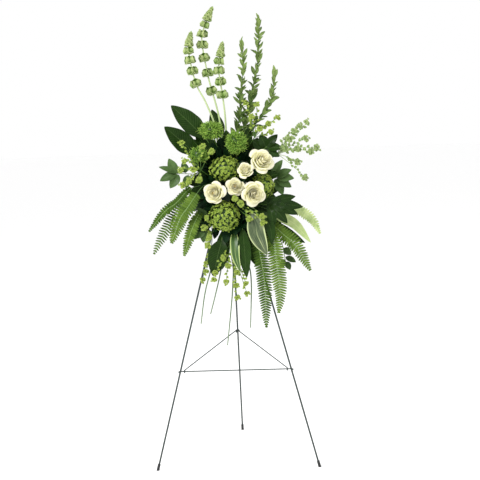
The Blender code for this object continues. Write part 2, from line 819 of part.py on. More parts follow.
def make_blade(name, root_at, route, width, material, columns=5, fold=0.22, bare=0.3,
               face=(0, -1, 0.15), rows=2, outline=None):
    """A broad leaf or frond on its stalk: the blade takes the part of the route past bare."""
    path = stem_path(root_at, route, 3)
    total = length_of(path)
    start = bare * total
    stalk = [p for k, p in enumerate(path) if length_of(path[:k + 1]) < start]
    stalk.append(point_along(path, start + 0.012)[0])
    drill(root_at, 0.0020)
    stem = tube(stalk, taper(0.0020, 0.0013, len(stalk)))
    past = [point_along(path, start + (total - start) * k / 12)[0] for k in range(13)]
    half = outline or lance(width)
    for away in (0.0, 0.006, -0.006, 0.012, -0.012, 0.02, -0.02, 0.03, -0.03, 0.04):
        moved = [p + Vector((0, away * k / 12, 0)) for k, p in enumerate(past)]
        mesh = sheet_along(moved, half, Vector(face), columns, rows, fold)
        if is_clear(mesh):
            break
    else:
        print("blade touches:", name, [k for k in placed if not is_clear_of(mesh, k)])
    if not is_clear(stem, ("foam_brick",)):
        print("stalk touches:", name, [k for k in placed if not is_clear_of(stem, k)])
    add_node(name, fuse([mesh, stem]), material)


def make_fern(name, root_at, route, width, pairs, material="fern", bare=0.3):
    """A frond: a flat blade cut to its rib between the leaflets."""
    make_blade(name, root_at, route, width, material, 2 * pairs, 0.0, bare, rows=1,
               outline=teeth(width, pairs))


def make_leaf_spray(name, root_at, twig, leaves):
    """A twig with leaves, each given by its base, its tip and its width."""
    path, stem = stem_of(name, root_at, twig, 0.0020, 0.0011, steps=2)
    parts = [stem]
    for base, tip, width in leaves:
        near = nearest_on(path, Vector(base))
        parts += first_clear(
            lambda away: rooted_leaf(near, Vector(tip) + Vector((0, away, 0)), width),
            (0.0, 0.008, -0.008, 0.016, -0.016, 0.026, -0.026),
        )
    add_node(name, fuse(parts, keep=1.0), "dark_leaf")


def make_star_spray(name, root_at, hub, heads):
    """A branching filler: thin branches from a hub to star-shaped heads."""
    hub = Vector(hub)
    _, stem = stem_of(name, root_at, [hub], 0.0018, steps=2)
    parts = [stem, ball(hub, [0.0030] * 3)]
    draw = Random(name)
    for head in heads:
        head = Vector(head)
        turn = draw.random() * TAU
        for away in (0.0, -0.012, 0.012, -0.024, 0.024, -0.036, 0.036):
            end = head + Vector((0, away * 0.5, 0))
            middle = (hub + head) / 2 + Vector((0, away, 0.006))
            line = [hub, end] if abs(away) < 0.02 else [hub, middle, end]
            branch = twig_run(line)
            bloom = star(end, unit((0.2 * math.sin(turn), -1, 0.5)), STAR_SIZE, STAR_THICK, 3,
                         0.45, turn)
            if is_clear(branch) and is_clear(bloom):
                parts += [branch, bloom]
                break
    add_node(name, fuse(parts, keep=1.0), "filler")


def make_lobed_leaf(name, root_at, route, heart, lobes):
    """A hand-shaped leaf: lobes from one heart, each given by its tip and its width."""
    _, stem = stem_of(name, root_at, [*route, heart], 0.0020, steps=2)
    parts = [stem]
    heart = Vector(heart)
    for tip, width in lobes:
        tip = Vector(tip)
        back = heart - unit(tip - heart) * 0.006
        parts += first_clear(
            lambda away: leaf(back, tip + Vector((0, away, 0)), width, (0, -1, 0.2), LOBE_THICK),
            (0.0, 0.01, -0.01, 0.02, -0.02),
        )
    add_node(name, fuse(parts), "dark_leaf")


def make_tails(name, root_at, hub, routes):
    """Thin hanging stems that leave the foam as one bunch."""
    hub = Vector(hub)
    _, stem = stem_of(name, root_at, [hub], 0.0030, steps=2)
    parts = [stem, ball(hub, [0.0042] * 3)]
    for route in routes:
        line = [hub, *(Vector(place) for place in route)]
        parts += first_clear(
            lambda away: tube([p + Vector((0, away * k / len(line), 0)) for k, p in
                               enumerate(line)], taper(0.0020, 0.0010, len(line))),
            (0.0, 0.01, -0.01, 0.02, -0.02, 0.03),
        )
    add_node(name, fuse(parts), "grass")


spray_collection, cutter_collection = start_scene()
materials = {name: make_material(name) for name in GREENS}
root = make_empty("standing_spray", PLAN_SHIFT)
back_pivot = make_empty("rear_leg_pivot", HINGE, root)
leg_at_bar = FRONT_FOOT.lerp(Vector((LEG_TOP_X, FRONT_TOUCH.x, FRONT_TOUCH.y)),
                             CROSSBAR_HEIGHT / FRONT_TOUCH.y)
crossbar_axis = Vector((0, leg_at_bar.y + BAR_OFFSET, CROSSBAR_HEIGHT))
brace_pivot = make_empty("brace_pivot", crossbar_axis, root)
make_easel()
make_tray()
make_foam()

# Roses: centre, the way it faces, radius, stem hole, petals in each ring
make_rose("rose_1", (0.114, -0.150, 1.071), (0.35, -0.85, 0.35), 0.040,
          ("right", 0.070, 0.078), (3, 5))
make_rose("rose_2", (0.060, -0.180, 1.043), (-0.10, -0.85, 0.50), 0.027,
          ("front", 0.026, 0.062), (2, 3))
make_rose("rose_3", (0.023, -0.168, 0.989), (0.00, -1.00, 0.20), 0.030,
          ("front", 0.008, 0.020), (3, 4))
make_rose("rose_4", (-0.047, -0.175, 0.971), (-0.25, -0.95, 0.05), 0.036,
          ("front", -0.026, 0.012), (3, 5))
make_rose("rose_5", (0.086, -0.186, 0.965), (0.20, -0.95, -0.05), 0.040,
          ("front", 0.028, 0.000), (3, 5))

# Lime heads: centre, half sizes, stem hole, florets, floret radius
make_floret_head("lime_head_1", (-0.011, -0.130, 1.048), (0.052, 0.036, 0.044),
                 ("front", -0.008, 0.076), 16, 0.0200)
make_floret_head("lime_head_2", (-0.016, -0.158, 0.888), (0.052, 0.040, 0.052),
                 ("front", -0.010, -0.070), 17, 0.0210)
make_floret_head("lime_head_3", (0.117, -0.105, 0.984), (0.038, 0.032, 0.045),
                 ("right", 0.020, 0.062), 13, 0.0185)

# Fuzzy heads: centre, half sizes, stem hole, needles
make_ball_flower("fuzzy_head_1", (-0.052, -0.128, 1.180), (0.045, 0.036, 0.034),
                 ("top", -0.028, 0.080), 36)
make_ball_flower("fuzzy_head_2", (0.031, -0.138, 1.137), (0.040, 0.036, 0.043),
                 ("top", 0.012, 0.082), 36)
make_ball_flower("fuzzy_head_3", (-0.100, -0.128, 1.098), (0.035, 0.033, 0.032),
                 ("left", 0.084, 0.070), 30)

# Bell spikes: stem hole, route to the tip, whorls
make_bells("bells_left", ("top", -0.034, 0.058),
           [(-0.043, -0.050, 1.190), (-0.072, -0.052, 1.275), (-0.105, -0.055, 1.346),
            (-0.125, -0.050, 1.454), (-0.115, -0.045, 1.516)], 6)
make_bells("bells_middle", ("top", -0.015, 0.042),
           [(-0.029, -0.030, 1.219), (-0.049, -0.025, 1.308), (-0.064, -0.020, 1.372),
            (-0.081, -0.010, 1.493), (-0.064, -0.010, 1.554), (-0.041, -0.010, 1.601)], 8)
make_bells("bells_right", ("top", -0.006, 0.064),
           [(-0.006, -0.070, 1.216), (-0.013, -0.075, 1.301), (-0.022, -0.080, 1.383),
            (-0.013, -0.085, 1.444), (-0.006, -0.085, 1.474)], 6)

# Leafy spikes: stem hole, route to the tip, leaves, bare length of stem
make_leafy_spike("leafy_spike_tall", ("top", 0.030, 0.050),
                 [(0.066, -0.045, 1.213), (0.086, -0.040, 1.290), (0.110, -0.035, 1.401),
                  (0.118, -0.030, 1.517), (0.116, -0.030, 1.568)], 26, 0.110)
make_leafy_spike("leafy_spike_left", ("top", 0.014, 0.052),
                 [(0.040, -0.050, 1.212), (0.048, -0.062, 1.280), (0.061, -0.070, 1.388),
                  (0.058, -0.070, 1.479)], 17, 0.120)
make_leafy_spike("leafy_spike_right", ("top", 0.034, 0.072),
                 [(0.078, -0.068, 1.173), (0.131, -0.080, 1.234), (0.157, -0.085, 1.291),
                  (0.172, -0.085, 1.372)], 14, 0.130)

# Broad dark leaves
make_blade("broad_leaf_upper", ("top", -0.047, 0.046),
           [(-0.066, -0.056, 1.135), (-0.100, -0.062, 1.175), (-0.133, -0.064, 1.211),
            (-0.193, -0.060, 1.270)], 0.072, "dark_leaf", bare=0.36, face=(0.25, -1, 0.3))
make_blade("broad_leaf_lower", ("left", 0.098, 0.040),
           [(-0.085, -0.036, 1.078), (-0.122, -0.036, 1.103), (-0.161, -0.040, 1.143),
            (-0.221, -0.045, 1.198)], 0.070, "dark_leaf", bare=0.34, face=(0.2, -1, 0.25))
make_blade("broad_leaf_rear", ("top", -0.028, 0.036),
           [(-0.028, -0.012, 1.140), (-0.036, -0.004, 1.180), (-0.056, 0.002, 1.252)],
           0.052, "dark_leaf", bare=0.42)

# Ferns: stem hole, route, width, pairs of leaflets
make_fern("fern_left_1", ("left", 0.030, 0.066),
          [(-0.100, -0.105, 0.992), (-0.140, -0.114, 0.979), (-0.183, -0.120, 0.936),
           (-0.225, -0.122, 0.907), (-0.282, -0.115, 0.840)], 0.030, 11)
make_fern("fern_left_2", ("left", -0.004, 0.040),
          [(-0.110, -0.075, 0.958), (-0.154, -0.088, 0.944), (-0.200, -0.095, 0.882),
           (-0.250, -0.095, 0.799), (-0.271, -0.092, 0.758)], 0.044, 11)
make_fern("fern_left_3", ("front", -0.034, 0.040),
          [(-0.066, -0.122, 1.000), (-0.095, -0.140, 0.985), (-0.139, -0.150, 0.925),
           (-0.169, -0.152, 0.885), (-0.202, -0.148, 0.802)], 0.056, 10, bare=0.36)
make_fern("fern_left_4", ("left", -0.036, 0.058),
          [(-0.091, -0.100, 0.912), (-0.113, -0.125, 0.883), (-0.136, -0.135, 0.833),
           (-0.162, -0.132, 0.754)], 0.040, 9)
make_fern("fern_right_1", ("right", -0.014, 0.040),
          [(0.110, -0.068, 0.948), (0.165, -0.080, 0.940), (0.191, -0.085, 0.922),
           (0.237, -0.088, 0.897), (0.282, -0.088, 0.862), (0.309, -0.086, 0.812)], 0.038, 9,
          bare=0.42, material="pale_leaf")
make_fern("fern_right_2", ("right", -0.062, 0.066),
          [(0.085, -0.100, 0.885), (0.110, -0.125, 0.880), (0.144, -0.133, 0.854),
           (0.180, -0.134, 0.819), (0.224, -0.132, 0.776), (0.270, -0.126, 0.690)], 0.052, 11)
make_fern("fern_low_1", ("right", -0.092, 0.052),
          [(0.080, -0.110, 0.850), (0.092, -0.125, 0.790), (0.106, -0.130, 0.702),
           (0.112, -0.128, 0.643), (0.113, -0.120, 0.493)], 0.053, 12, bare=0.22)
make_fern("fern_low_2", ("front", 0.040, -0.066),
          [(0.082, -0.140, 0.900), (0.120, -0.156, 0.878), (0.145, -0.160, 0.819),
           (0.156, -0.158, 0.718), (0.165, -0.154, 0.620), (0.157, -0.150, 0.549)], 0.058, 12)

# Long leaves that hang below the heads
make_blade("pale_blade", ("right", -0.040, 0.054),
           [(0.095, -0.092, 0.915), (0.124, -0.104, 0.906), (0.170, -0.108, 0.879),
            (0.223, -0.108, 0.848), (0.275, -0.100, 0.783)], 0.036, "pale_leaf")
make_blade("striped_blade_right", ("front", 0.016, -0.050),
           [(0.050, -0.150, 0.895), (0.079, -0.178, 0.881), (0.095, -0.182, 0.819),
            (0.124, -0.170, 0.753)], 0.058, "striped_leaf", bare=0.34)
make_blade("striped_blade_middle", ("bottom", 0.012, 0.080),
           [(0.013, -0.128, 0.826), (0.014, -0.150, 0.790), (0.017, -0.158, 0.745),
            (0.031, -0.152, 0.694)], 0.032, "striped_leaf", bare=0.24)
make_blade("dark_blade_middle", ("front", 0.022, -0.084),
           [(0.040, -0.138, 0.862), (0.046, -0.150, 0.786), (0.051, -0.142, 0.673)],
           0.040, "dark_leaf", bare=0.26)
make_blade("dark_blade_left", ("bottom", -0.028, 0.066),
           [(-0.030, -0.118, 0.810), (-0.046, -0.128, 0.752), (-0.065, -0.124, 0.678)],
           0.068, "dark_leaf", bare=0.28)
make_blade("dark_blade_right", ("front", 0.038, -0.040),
           [(0.090, -0.142, 0.906), (0.118, -0.164, 0.884), (0.138, -0.172, 0.842),
            (0.142, -0.168, 0.786)], 0.036, "dark_leaf", bare=0.36)

# Lobed leaf under the roses on the right: tips and widths of its lobes
make_lobed_leaf("lobed_leaf", ("right", -0.018, 0.076), [(0.100, -0.112, 0.926)],
                (0.134, -0.146, 0.922),
                [((0.250, -0.158, 0.912), 0.034), ((0.232, -0.164, 0.888), 0.032),
                 ((0.196, -0.168, 0.860), 0.032), ((0.152, -0.170, 0.852), 0.030),
                 ((0.226, -0.146, 0.948), 0.030)])

# Leaf sprays: stem hole, twig, leaves as base, tip and width
make_leaf_spray("leaf_spray_left", ("left", 0.060, 0.052),
                [(-0.110, -0.075, 1.030), (-0.180, -0.080, 1.036)],
                [((-0.176, -0.080, 1.030), (-0.240, -0.082, 1.012), 0.032),
                 ((-0.178, -0.084, 1.044), (-0.206, -0.088, 1.088), 0.034),
                 ((-0.166, -0.078, 1.040), (-0.242, -0.080, 1.060), 0.022),
                 ((-0.172, -0.086, 1.016), (-0.205, -0.090, 0.986), 0.034),
                 ((-0.150, -0.084, 1.040), (-0.158, -0.088, 1.076), 0.028),
                 ((-0.140, -0.084, 1.020), (-0.150, -0.090, 0.984), 0.030)])
make_leaf_spray("leaf_spray_upper_right", ("right", 0.094, 0.044),
                [(0.092, -0.062, 1.090), (0.130, -0.080, 1.115)],
                [((0.108, -0.080, 1.112), (0.086, -0.086, 1.142), 0.034),
                 ((0.126, -0.080, 1.120), (0.112, -0.086, 1.160), 0.036),
                 ((0.138, -0.080, 1.122), (0.172, -0.086, 1.158), 0.030),
                 ((0.136, -0.080, 1.108), (0.186, -0.086, 1.112), 0.032),
                 ((0.130, -0.082, 1.100), (0.176, -0.090, 1.082), 0.030)])
make_leaf_spray("leaf_spray_right", ("right", 0.040, 0.060),
                [(0.110, -0.070, 1.020), (0.160, -0.082, 1.010)],
                [((0.162, -0.084, 1.024), (0.216, -0.092, 1.036), 0.032),
                 ((0.168, -0.084, 1.008), (0.224, -0.092, 1.006), 0.034),
                 ((0.160, -0.084, 0.996), (0.214, -0.092, 0.976), 0.032),
                 ((0.150, -0.084, 0.992), (0.184, -0.092, 0.950), 0.034),
                 ((0.150, -0.082, 1.026), (0.186, -0.086, 1.070), 0.030)])
make_leaf_spray("leaf_spray_low_right", ("right", -0.076, 0.036),
                [(0.120, -0.076, 0.860), (0.172, -0.092, 0.790), (0.186, -0.094, 0.720)],
                [((0.176, -0.094, 0.765), (0.206, -0.100, 0.742), 0.026),
                 ((0.184, -0.094, 0.735), (0.222, -0.100, 0.716), 0.022),
                 ((0.184, -0.094, 0.728), (0.168, -0.100, 0.696), 0.022),
                 ((0.186, -0.094, 0.722), (0.202, -0.100, 0.690), 0.022),
                 ((0.166, -0.090, 0.798), (0.216, -0.096, 0.800), 0.024),
                 ((0.150, -0.084, 0.820), (0.198, -0.090, 0.838), 0.024)])
make_leaf_spray("leaf_spray_low_left", ("left", -0.072, 0.060),
                [(-0.078, -0.104, 0.872), (-0.098, -0.112, 0.850)],
                [((-0.098, -0.110, 0.862), (-0.130, -0.116, 0.812), 0.046),
                 ((-0.086, -0.106, 0.858), (-0.096, -0.112, 0.796), 0.036),
                 ((-0.100, -0.110, 0.876), (-0.146, -0.112, 0.866), 0.030),
                 ((-0.082, -0.104, 0.880), (-0.112, -0.116, 0.916), 0.028)])

# Star fillers: stem hole, hub, heads
make_star_spray("star_spray_upper_left", ("left", 0.050, 0.078), (-0.092, -0.132, 1.046),
                [(-0.155, -0.124, 1.141), (-0.147, -0.150, 1.080), (-0.160, -0.150, 1.050),
                 (-0.116, -0.158, 1.050), (-0.134, -0.154, 1.010),
                 (-0.098, -0.165, 1.014), (-0.157, -0.146, 0.998)])
make_star_spray("star_spray_top", ("top", 0.046, 0.058), (0.092, -0.092, 1.150),
                [(0.066, -0.094, 1.268), (0.104, -0.096, 1.262), (0.142, -0.100, 1.196),
                 (0.150, -0.104, 1.168), (0.112, -0.112, 1.180), (0.176, -0.098, 1.216),
                 (0.086, -0.104, 1.222)])
make_star_spray("star_spray_right", ("right", 0.064, 0.050), (0.170, -0.070, 1.090),
                [(0.274, -0.078, 1.196), (0.250, -0.082, 1.184), (0.230, -0.086, 1.170),
                 (0.212, -0.090, 1.140), (0.198, -0.090, 1.110), (0.240, -0.088, 1.108),
                 (0.270, -0.080, 1.140), (0.304, -0.080, 1.108), (0.284, -0.086, 1.096),
                 (0.238, -0.090, 1.062), (0.262, -0.088, 1.008)])
make_star_spray("star_spray_centre", ("front", 0.000, -0.020), (0.030, -0.150, 0.930),
                [(0.022, -0.186, 0.950), (0.042, -0.192, 0.932), (0.068, -0.196, 0.880),
                 (0.112, -0.196, 0.888), (0.114, -0.190, 0.866)])
make_star_spray("star_spray_low_left", ("bottom", -0.042, 0.050), (-0.064, -0.108, 0.830),
                [(-0.076, -0.150, 0.884), (-0.088, -0.146, 0.850), (-0.072, -0.150, 0.818),
                 (-0.080, -0.138, 0.788), (-0.088, -0.112, 0.722), (-0.090, -0.112, 0.694),
                 (-0.104, -0.106, 0.664)])
make_star_spray("star_spray_low", ("bottom", -0.010, 0.066), (-0.004, -0.114, 0.786),
                [(-0.028, -0.144, 0.742), (-0.012, -0.140, 0.716), (0.018, -0.138, 0.692),
                 (-0.056, -0.136, 0.692), (-0.062, -0.134, 0.668), (-0.020, -0.134, 0.660),
                 (0.014, -0.132, 0.646), (0.048, -0.132, 0.650), (0.050, -0.130, 0.616),
                 (0.016, -0.130, 0.602)])

make_tails("hanging_tails", ("bottom", 0.004, 0.046), (0.000, -0.090, 0.815),
           [[(-0.049, -0.096, 0.763), (-0.077, -0.100, 0.688), (-0.099, -0.102, 0.611),
             (-0.116, -0.100, 0.508)],
            [(-0.025, -0.098, 0.760), (-0.043, -0.100, 0.679), (-0.064, -0.102, 0.601),
             (-0.081, -0.100, 0.542)],
            [(0.006, -0.104, 0.738), (0.001, -0.112, 0.646), (-0.008, -0.116, 0.561),
             (-0.025, -0.116, 0.432)],
            [(0.040, -0.100, 0.760), (0.061, -0.102, 0.700), (0.065, -0.102, 0.641),
             (0.062, -0.102, 0.577), (0.057, -0.100, 0.489)]])
drill_foam()
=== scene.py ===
"""Standing funeral spray on a folding wire easel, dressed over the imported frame.

Metres, +Z up, the flowers face -Y. Plants are laid out in the easel's own frame, as in the part's
source, and SHIFT moves them into the shared one when their mesh is made.
"""
import math

import bmesh
import bpy
import numpy as np
from mathutils import Matrix, Vector


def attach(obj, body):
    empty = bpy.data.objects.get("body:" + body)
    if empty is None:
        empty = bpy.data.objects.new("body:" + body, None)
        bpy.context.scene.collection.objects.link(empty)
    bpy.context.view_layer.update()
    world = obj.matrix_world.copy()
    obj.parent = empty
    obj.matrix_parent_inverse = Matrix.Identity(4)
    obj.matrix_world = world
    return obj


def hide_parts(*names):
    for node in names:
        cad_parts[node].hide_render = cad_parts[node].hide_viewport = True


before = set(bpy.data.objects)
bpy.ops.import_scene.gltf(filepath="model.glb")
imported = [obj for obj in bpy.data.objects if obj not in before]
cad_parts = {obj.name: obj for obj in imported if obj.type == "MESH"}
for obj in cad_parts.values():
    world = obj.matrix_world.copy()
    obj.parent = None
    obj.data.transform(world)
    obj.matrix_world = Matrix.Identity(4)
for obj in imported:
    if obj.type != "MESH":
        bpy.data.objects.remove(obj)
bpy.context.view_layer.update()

SHIFT = np.array([-0.013, -0.038, 0.0])
TAU = 2 * math.pi
GOLDEN = math.pi * (3 - math.sqrt(5))

# The foam and the lean of the holder, as in the part's source
HINGE = np.array([0.0, 0.0, 1.0])
LEAN_ANGLE = math.radians(8.431378)
LEAN = np.array([0.0, math.sin(LEAN_ANGLE), math.cos(LEAN_ANGLE)])
FORWARD = np.array([0.0, -math.cos(LEAN_ANGLE), math.sin(LEAN_ANGLE)])
FOAM_HALF_WIDTH, FOAM_HALF_HEIGHT, FOAM_DEPTH = 0.055, 0.115, 0.080
FOAM_BELOW_BAR, FOAM_BACK, STEM_DEPTH = 0.045, 0.0123, 0.026
STEM_STRAIGHT = 0.004  # how far a stem stands straight out of the foam
LEAFLET_WALL, BLADE_WALL = 0.0006, 0.0008

# Arrays of points


def mm(value):
    """The tables are in millimetres, everything else is in metres."""
    return np.array(value, float) / 1000


def unit(v):
    return v / np.maximum(np.linalg.norm(v, axis=-1, keepdims=True), 1e-12)


def seeded(name):
    return np.random.default_rng([ord(letter) for letter in name])


def ball_ways(count, turn=0.0):
    """Directions spread evenly over a ball: heights in equal steps, each turned by the golden angle."""
    k = np.arange(count)
    height = 1 - (2 * k + 1) / count
    ring, angle = np.sqrt(1 - height ** 2), turn + k * GOLDEN
    return np.stack([ring * np.cos(angle), height, ring * np.sin(angle)], -1)


def square_to(way, turn=0.0):
    """Unit vectors square to the given ones, turned about them by an angle."""
    first = unit(np.cross(way, np.array([0.31, -0.87, 0.38])))
    turn = np.reshape(turn, (-1, 1))
    return first * np.cos(turn) + np.cross(way, first) * np.sin(turn)


def curve(points, count):
    """A Catmull-Rom curve through the points, read at so many places evenly spaced along it."""
    knots = np.asarray(points, float)
    knots = np.vstack([2 * knots[0] - knots[1], knots, 2 * knots[-1] - knots[-2]])
    a, b, c, d = (knots[k:len(knots) - 3 + k, None] for k in range(4))
    t = np.linspace(0, 1, 16, endpoint=False)[None, :, None]
    dense = 0.5 * (2 * b + (c - a) * t + (2 * a - 5 * b + 4 * c - d) * t ** 2
                   + (3 * b - a - 3 * c + d) * t ** 3)
    dense = np.vstack([dense.reshape(-1, 3), knots[-2]])
    run = np.concatenate([[0], np.cumsum(np.linalg.norm(np.diff(dense, axis=0), axis=1))])
    at = np.linspace(0, run[-1], count)
    return np.stack([np.interp(at, run, dense[:, k]) for k in range(3)], 1)


def length_of(path):
    return np.linalg.norm(np.diff(path, axis=0), axis=1).sum()


def read_at(path, parts):
    """Places and directions at parts of a path's length, from 0 to 1."""
    steps = np.linspace(0, 1, len(path))
    ways = unit(np.gradient(path, axis=0))
    place = np.stack([np.interp(parts, steps, path[:, k]) for k in range(3)], -1)
    way = np.stack([np.interp(parts, steps, ways[:, k]) for k in range(3)], -1)
    return place, unit(way)


def frames(path, face):
    """Along, side and normal at each point: side = along x face, normal = side x along."""
    along = unit(np.gradient(path, axis=0))
    side = unit(np.cross(along, face))
    return along, side, np.cross(side, along)


def holder(x, up, forward):
    return HINGE + np.array([x, 0, 0]) + LEAN * (up - FOAM_BELOW_BAR) + FORWARD * forward


def socket(face, a, b):
    """Where a stem enters a face of the foam, and the way into it."""
    sides = {
        "front": (holder(a, b, FOAM_BACK + FOAM_DEPTH), -FORWARD),
        "top": (holder(a, FOAM_HALF_HEIGHT, b), -LEAN),
        "bottom": (holder(a, -FOAM_HALF_HEIGHT, b), LEAN),
        "left": (holder(-FOAM_HALF_WIDTH, a, b), np.array([1.0, 0, 0])),
        "right": (holder(FOAM_HALF_WIDTH, a, b), np.array([-1.0, 0, 0])),
    }
    return sides[face]


def root(hole):
    """The same for a hole of the tables: a face and a place on it in millimetres."""
    face, a, b = hole
    return socket(face, a / 1000, b / 1000)


def stem_path(hole, route, count):
    """A stem from inside its hole, straight out of the foam and then along its route."""
    entry, inward = root(hole)
    return np.vstack([entry + inward * STEM_DEPTH * 0.8,
                      curve([entry - inward * STEM_STRAIGHT, *route], count)])


# Surfaces. Each gives (points, four-cornered faces, surface coordinates, tint, material)


def grid_faces(a, b):
    k = np.arange(a * b).reshape(a, b)
    return np.stack([k[:-1, :-1], k[1:, :-1], k[1:, 1:], k[:-1, 1:]], -1).reshape(-1, 4)


def skins(grid, material, tint=0.5):
    """Surfaces P(u, v) as they stand, one for each first index, facing dP/du x dP/dv."""
    grid = grid[None] if grid.ndim == 3 else grid
    k, a, b, _ = grid.shape
    faces = (grid_faces(a, b)[None] + (np.arange(k) * a * b)[:, None, None]).reshape(-1, 4)
    u, v = np.meshgrid(np.linspace(0, 1, a), np.linspace(0, 1, b), indexing="ij")
    uv = np.broadcast_to(np.stack([u, v], -1), (k, a, b, 2)).reshape(-1, 2)
    tints = np.broadcast_to(np.reshape(tint, (-1, 1)), (k, a * b)).reshape(-1)
    return grid.reshape(-1, 3), faces, uv, tints, material


def shells(grid, material, tint=0.5, thick=LEAFLET_WALL):
    """Thin closed sheets: P(u, v) plus and minus half the wall along dP/du x dP/dv, and a rim."""
    grid = grid[None] if grid.ndim == 3 else grid
    k, a, b, _ = grid.shape
    wall = unit(np.cross(np.gradient(grid, axis=1), np.gradient(grid, axis=2))) * thick / 2
    points, faces, uv, tints, _ = skins(grid + wall, material, tint)
    ids = np.arange(a * b).reshape(a, b)
    rim = np.concatenate([ids[:-1, 0], ids[-1, :-1], ids[:0:-1, -1], ids[0, :0:-1]])
    after, low = np.roll(rim, -1), k * a * b
    edge = np.stack([after, rim, rim + low, after + low], -1)
    edge = (edge[None] + (np.arange(k) * a * b)[:, None, None]).reshape(-1, 4)
    return (np.vstack([points, (grid - wall).reshape(-1, 3)]),
            np.vstack([faces, faces[:, ::-1] + low, edge]),
            np.vstack([uv, uv]), np.concatenate([tints, tints]), material)


def stalk(path, radius, end=None, material="stem", sides=6, tint=0.5):
    """A round stem: P(u, v) = path(v) + r(v) (side cos u - normal sin u), shut at both ends."""
    mean = np.abs(unit(np.gradient(path, axis=0))).mean(axis=0)
    _, side, normal = frames(path, np.eye(3)[np.argmin(mean)])
    radii = np.linspace(radius, end or radius, len(path))
    radii = np.concatenate([[0], radii, [0]])[None, :, None]
    wide = [np.vstack([a[:1], a, a[-1:]])[None] for a in (path, side, normal)]
    u = np.linspace(0, TAU, sides + 1)[:, None, None]
    return skins(wide[0] + radii * (wide[1] * np.cos(u) - wide[2] * np.sin(u)), material, tint)


BUD = ((0, 0), (0.08, 0.5), (0.35, 1), (0.75, 0.7), (1, 0))
THORN = ((0, 0), (0.04, 1), (0.6, 0.75), (1, 0))
ROD = ((0, 0), (0, 1), (0.5, 0.9), (1, 0.8), (1, 0))
PETALLET = ((0, 0), (0.6, 1), (1, 0))


def struts(base, tip, face):
    """Base, run, side, normal and length of many short parts, ready to meet arrays of (u, v)."""
    base, tip = np.broadcast_arrays(np.atleast_2d(base), np.atleast_2d(tip))
    run = tip - base
    way = unit(run)
    side = unit(np.cross(way, face))
    long = np.linalg.norm(run, axis=-1, keepdims=True)
    return [part[:, None, None] for part in (base, run, side, np.cross(side, way), long)]


def each(values):
    """One number for each part, ready to meet arrays of (u, v)."""
    return np.reshape(values, (-1, 1, 1, 1))


def profile_of(rows):
    return (np.array(rows)[:, k][None, None, :, None] for k in (0, 1))


def pods(base, tip, face, width, thick, material, profile, sides=4, bend=0.0, tint=0.5):
    """Many solid buds or florets: P = base + (tip - base) z(v) + normal bend 4 z (1 - z)
    + r(v) (side w cos u - normal t sin u), with z and r from the profile."""
    base, run, side, normal, long = struts(base, tip, face)
    z, r = profile_of(profile)
    u = np.linspace(0, TAU, sides + 1)[None, :, None, None]
    grid = (base + run * z + normal * long * each(bend) * 4 * z * (1 - z)
            + r * (side * np.cos(u) * each(width) / 2 - normal * np.sin(u) * each(thick) / 2))
    return skins(grid, material, tint)


def leaves(base, tip, face, width, material, bend=0.10, fold=0.30, across=5, rows=8,
           widest=0.45, blunt=0.8, wave=0.0, tint=0.5):
    """Many small leaves: P = base + (tip - base) v + normal (bend 4 v (1 - v) + fold w |u|)
    + side w u, with w = half the width times sin(pi v^e)^blunt, widest at a given part."""
    base, run, side, normal, long = struts(base, tip, face)
    u = np.linspace(-1, 1, across)[None, :, None, None]
    v = np.linspace(0, 1, rows)[None, None, :, None]
    shape = np.sin(math.pi * (0.015 + 0.975 * v) ** (math.log(0.5) / math.log(widest))) ** blunt
    half = each(width) / 2 * shape
    lift = fold * np.abs(u) ** 1.4 + wave * np.abs(u) * np.sin(TAU * 2.3 * v + 2.1 * np.sign(u))
    arch = long * each(bend) * 4 * v * (1 - v)
    grid = base + run * v + side * half * u + normal * (half * lift + arch)
    return shells(grid, material, tint)


def blade(path, half, face, fold, wave, waves, across=11):
    """A long leaf: P = path(v) + side w(v) u + normal w(v) (fold |u| + wave u^2 sin(waves v))."""
    _, side, normal = frames(path, np.asarray(face, float))
    u = np.linspace(-1, 1, across)[:, None, None]
    v = np.linspace(0, 1, len(path))[None, :, None]
    lift = fold * np.abs(u) ** 1.3 + wave * u ** 2 * np.sin(TAU * waves * v + 1.9 * np.sign(u))
    half = half[None, :, None]
    return path[None] + side[None] * half * u + normal[None] * half * lift


def globe(centre, radii, material, around=14, rings=9):
    """A ball: P = centre + radii (sin v cos u, sin v sin u, -cos v)."""
    u = np.linspace(0, TAU, around + 1)[:, None]
    v = np.linspace(0, math.pi, rings)[None, :]
    way = np.stack(np.broadcast_arrays(np.sin(v) * np.cos(u), np.sin(v) * np.sin(u), -np.cos(v)), -1)
    return skins(centre + way * np.asarray(radii), material)


CUP = ((0, 0), (0.42, 0.02), (0.76, 0.17), (0.96, 0.44), (1.02, 0.74), (0.97, 1.0), (0.90, 0.98),
       (0.93, 0.72), (0.84, 0.46), (0.58, 0.24), (0, 0.14))


def cups(place, axis, radius, depth, material, tint, around=15):
    """Flared calyces: a profile turned about each axis, its mouth drawn out in five low points."""
    r, z = profile_of(CUP)
    u = np.linspace(0, TAU, around + 1)[None, :, None, None]
    side = square_to(axis)
    up = np.cross(axis, side)
    place, axis, side, up = (part[:, None, None] for part in (place, axis, side, up))
    lobed = 1 + 0.07 * np.cos(5 * u) * z ** 2
    grid = (place + axis * each(depth) * z * (1 + 0.05 * np.cos(5 * u) * z)
            + each(radius) * r * lobed * (side * np.cos(u) + up * np.sin(u)))
    return skins(grid, material, tint)


# Pieces


def weld(mesh, sharp=50):
    """Merges the points that meet, and shades round all but the edges sharper than so many degrees."""
    joined = bmesh.new()
    joined.from_mesh(mesh)
    bmesh.ops.remove_doubles(joined, verts=joined.verts, dist=1e-6)
    joined.to_mesh(mesh)
    joined.free()
    mesh.shade_smooth()
    mesh.set_sharp_from_angle(angle=math.radians(sharp))


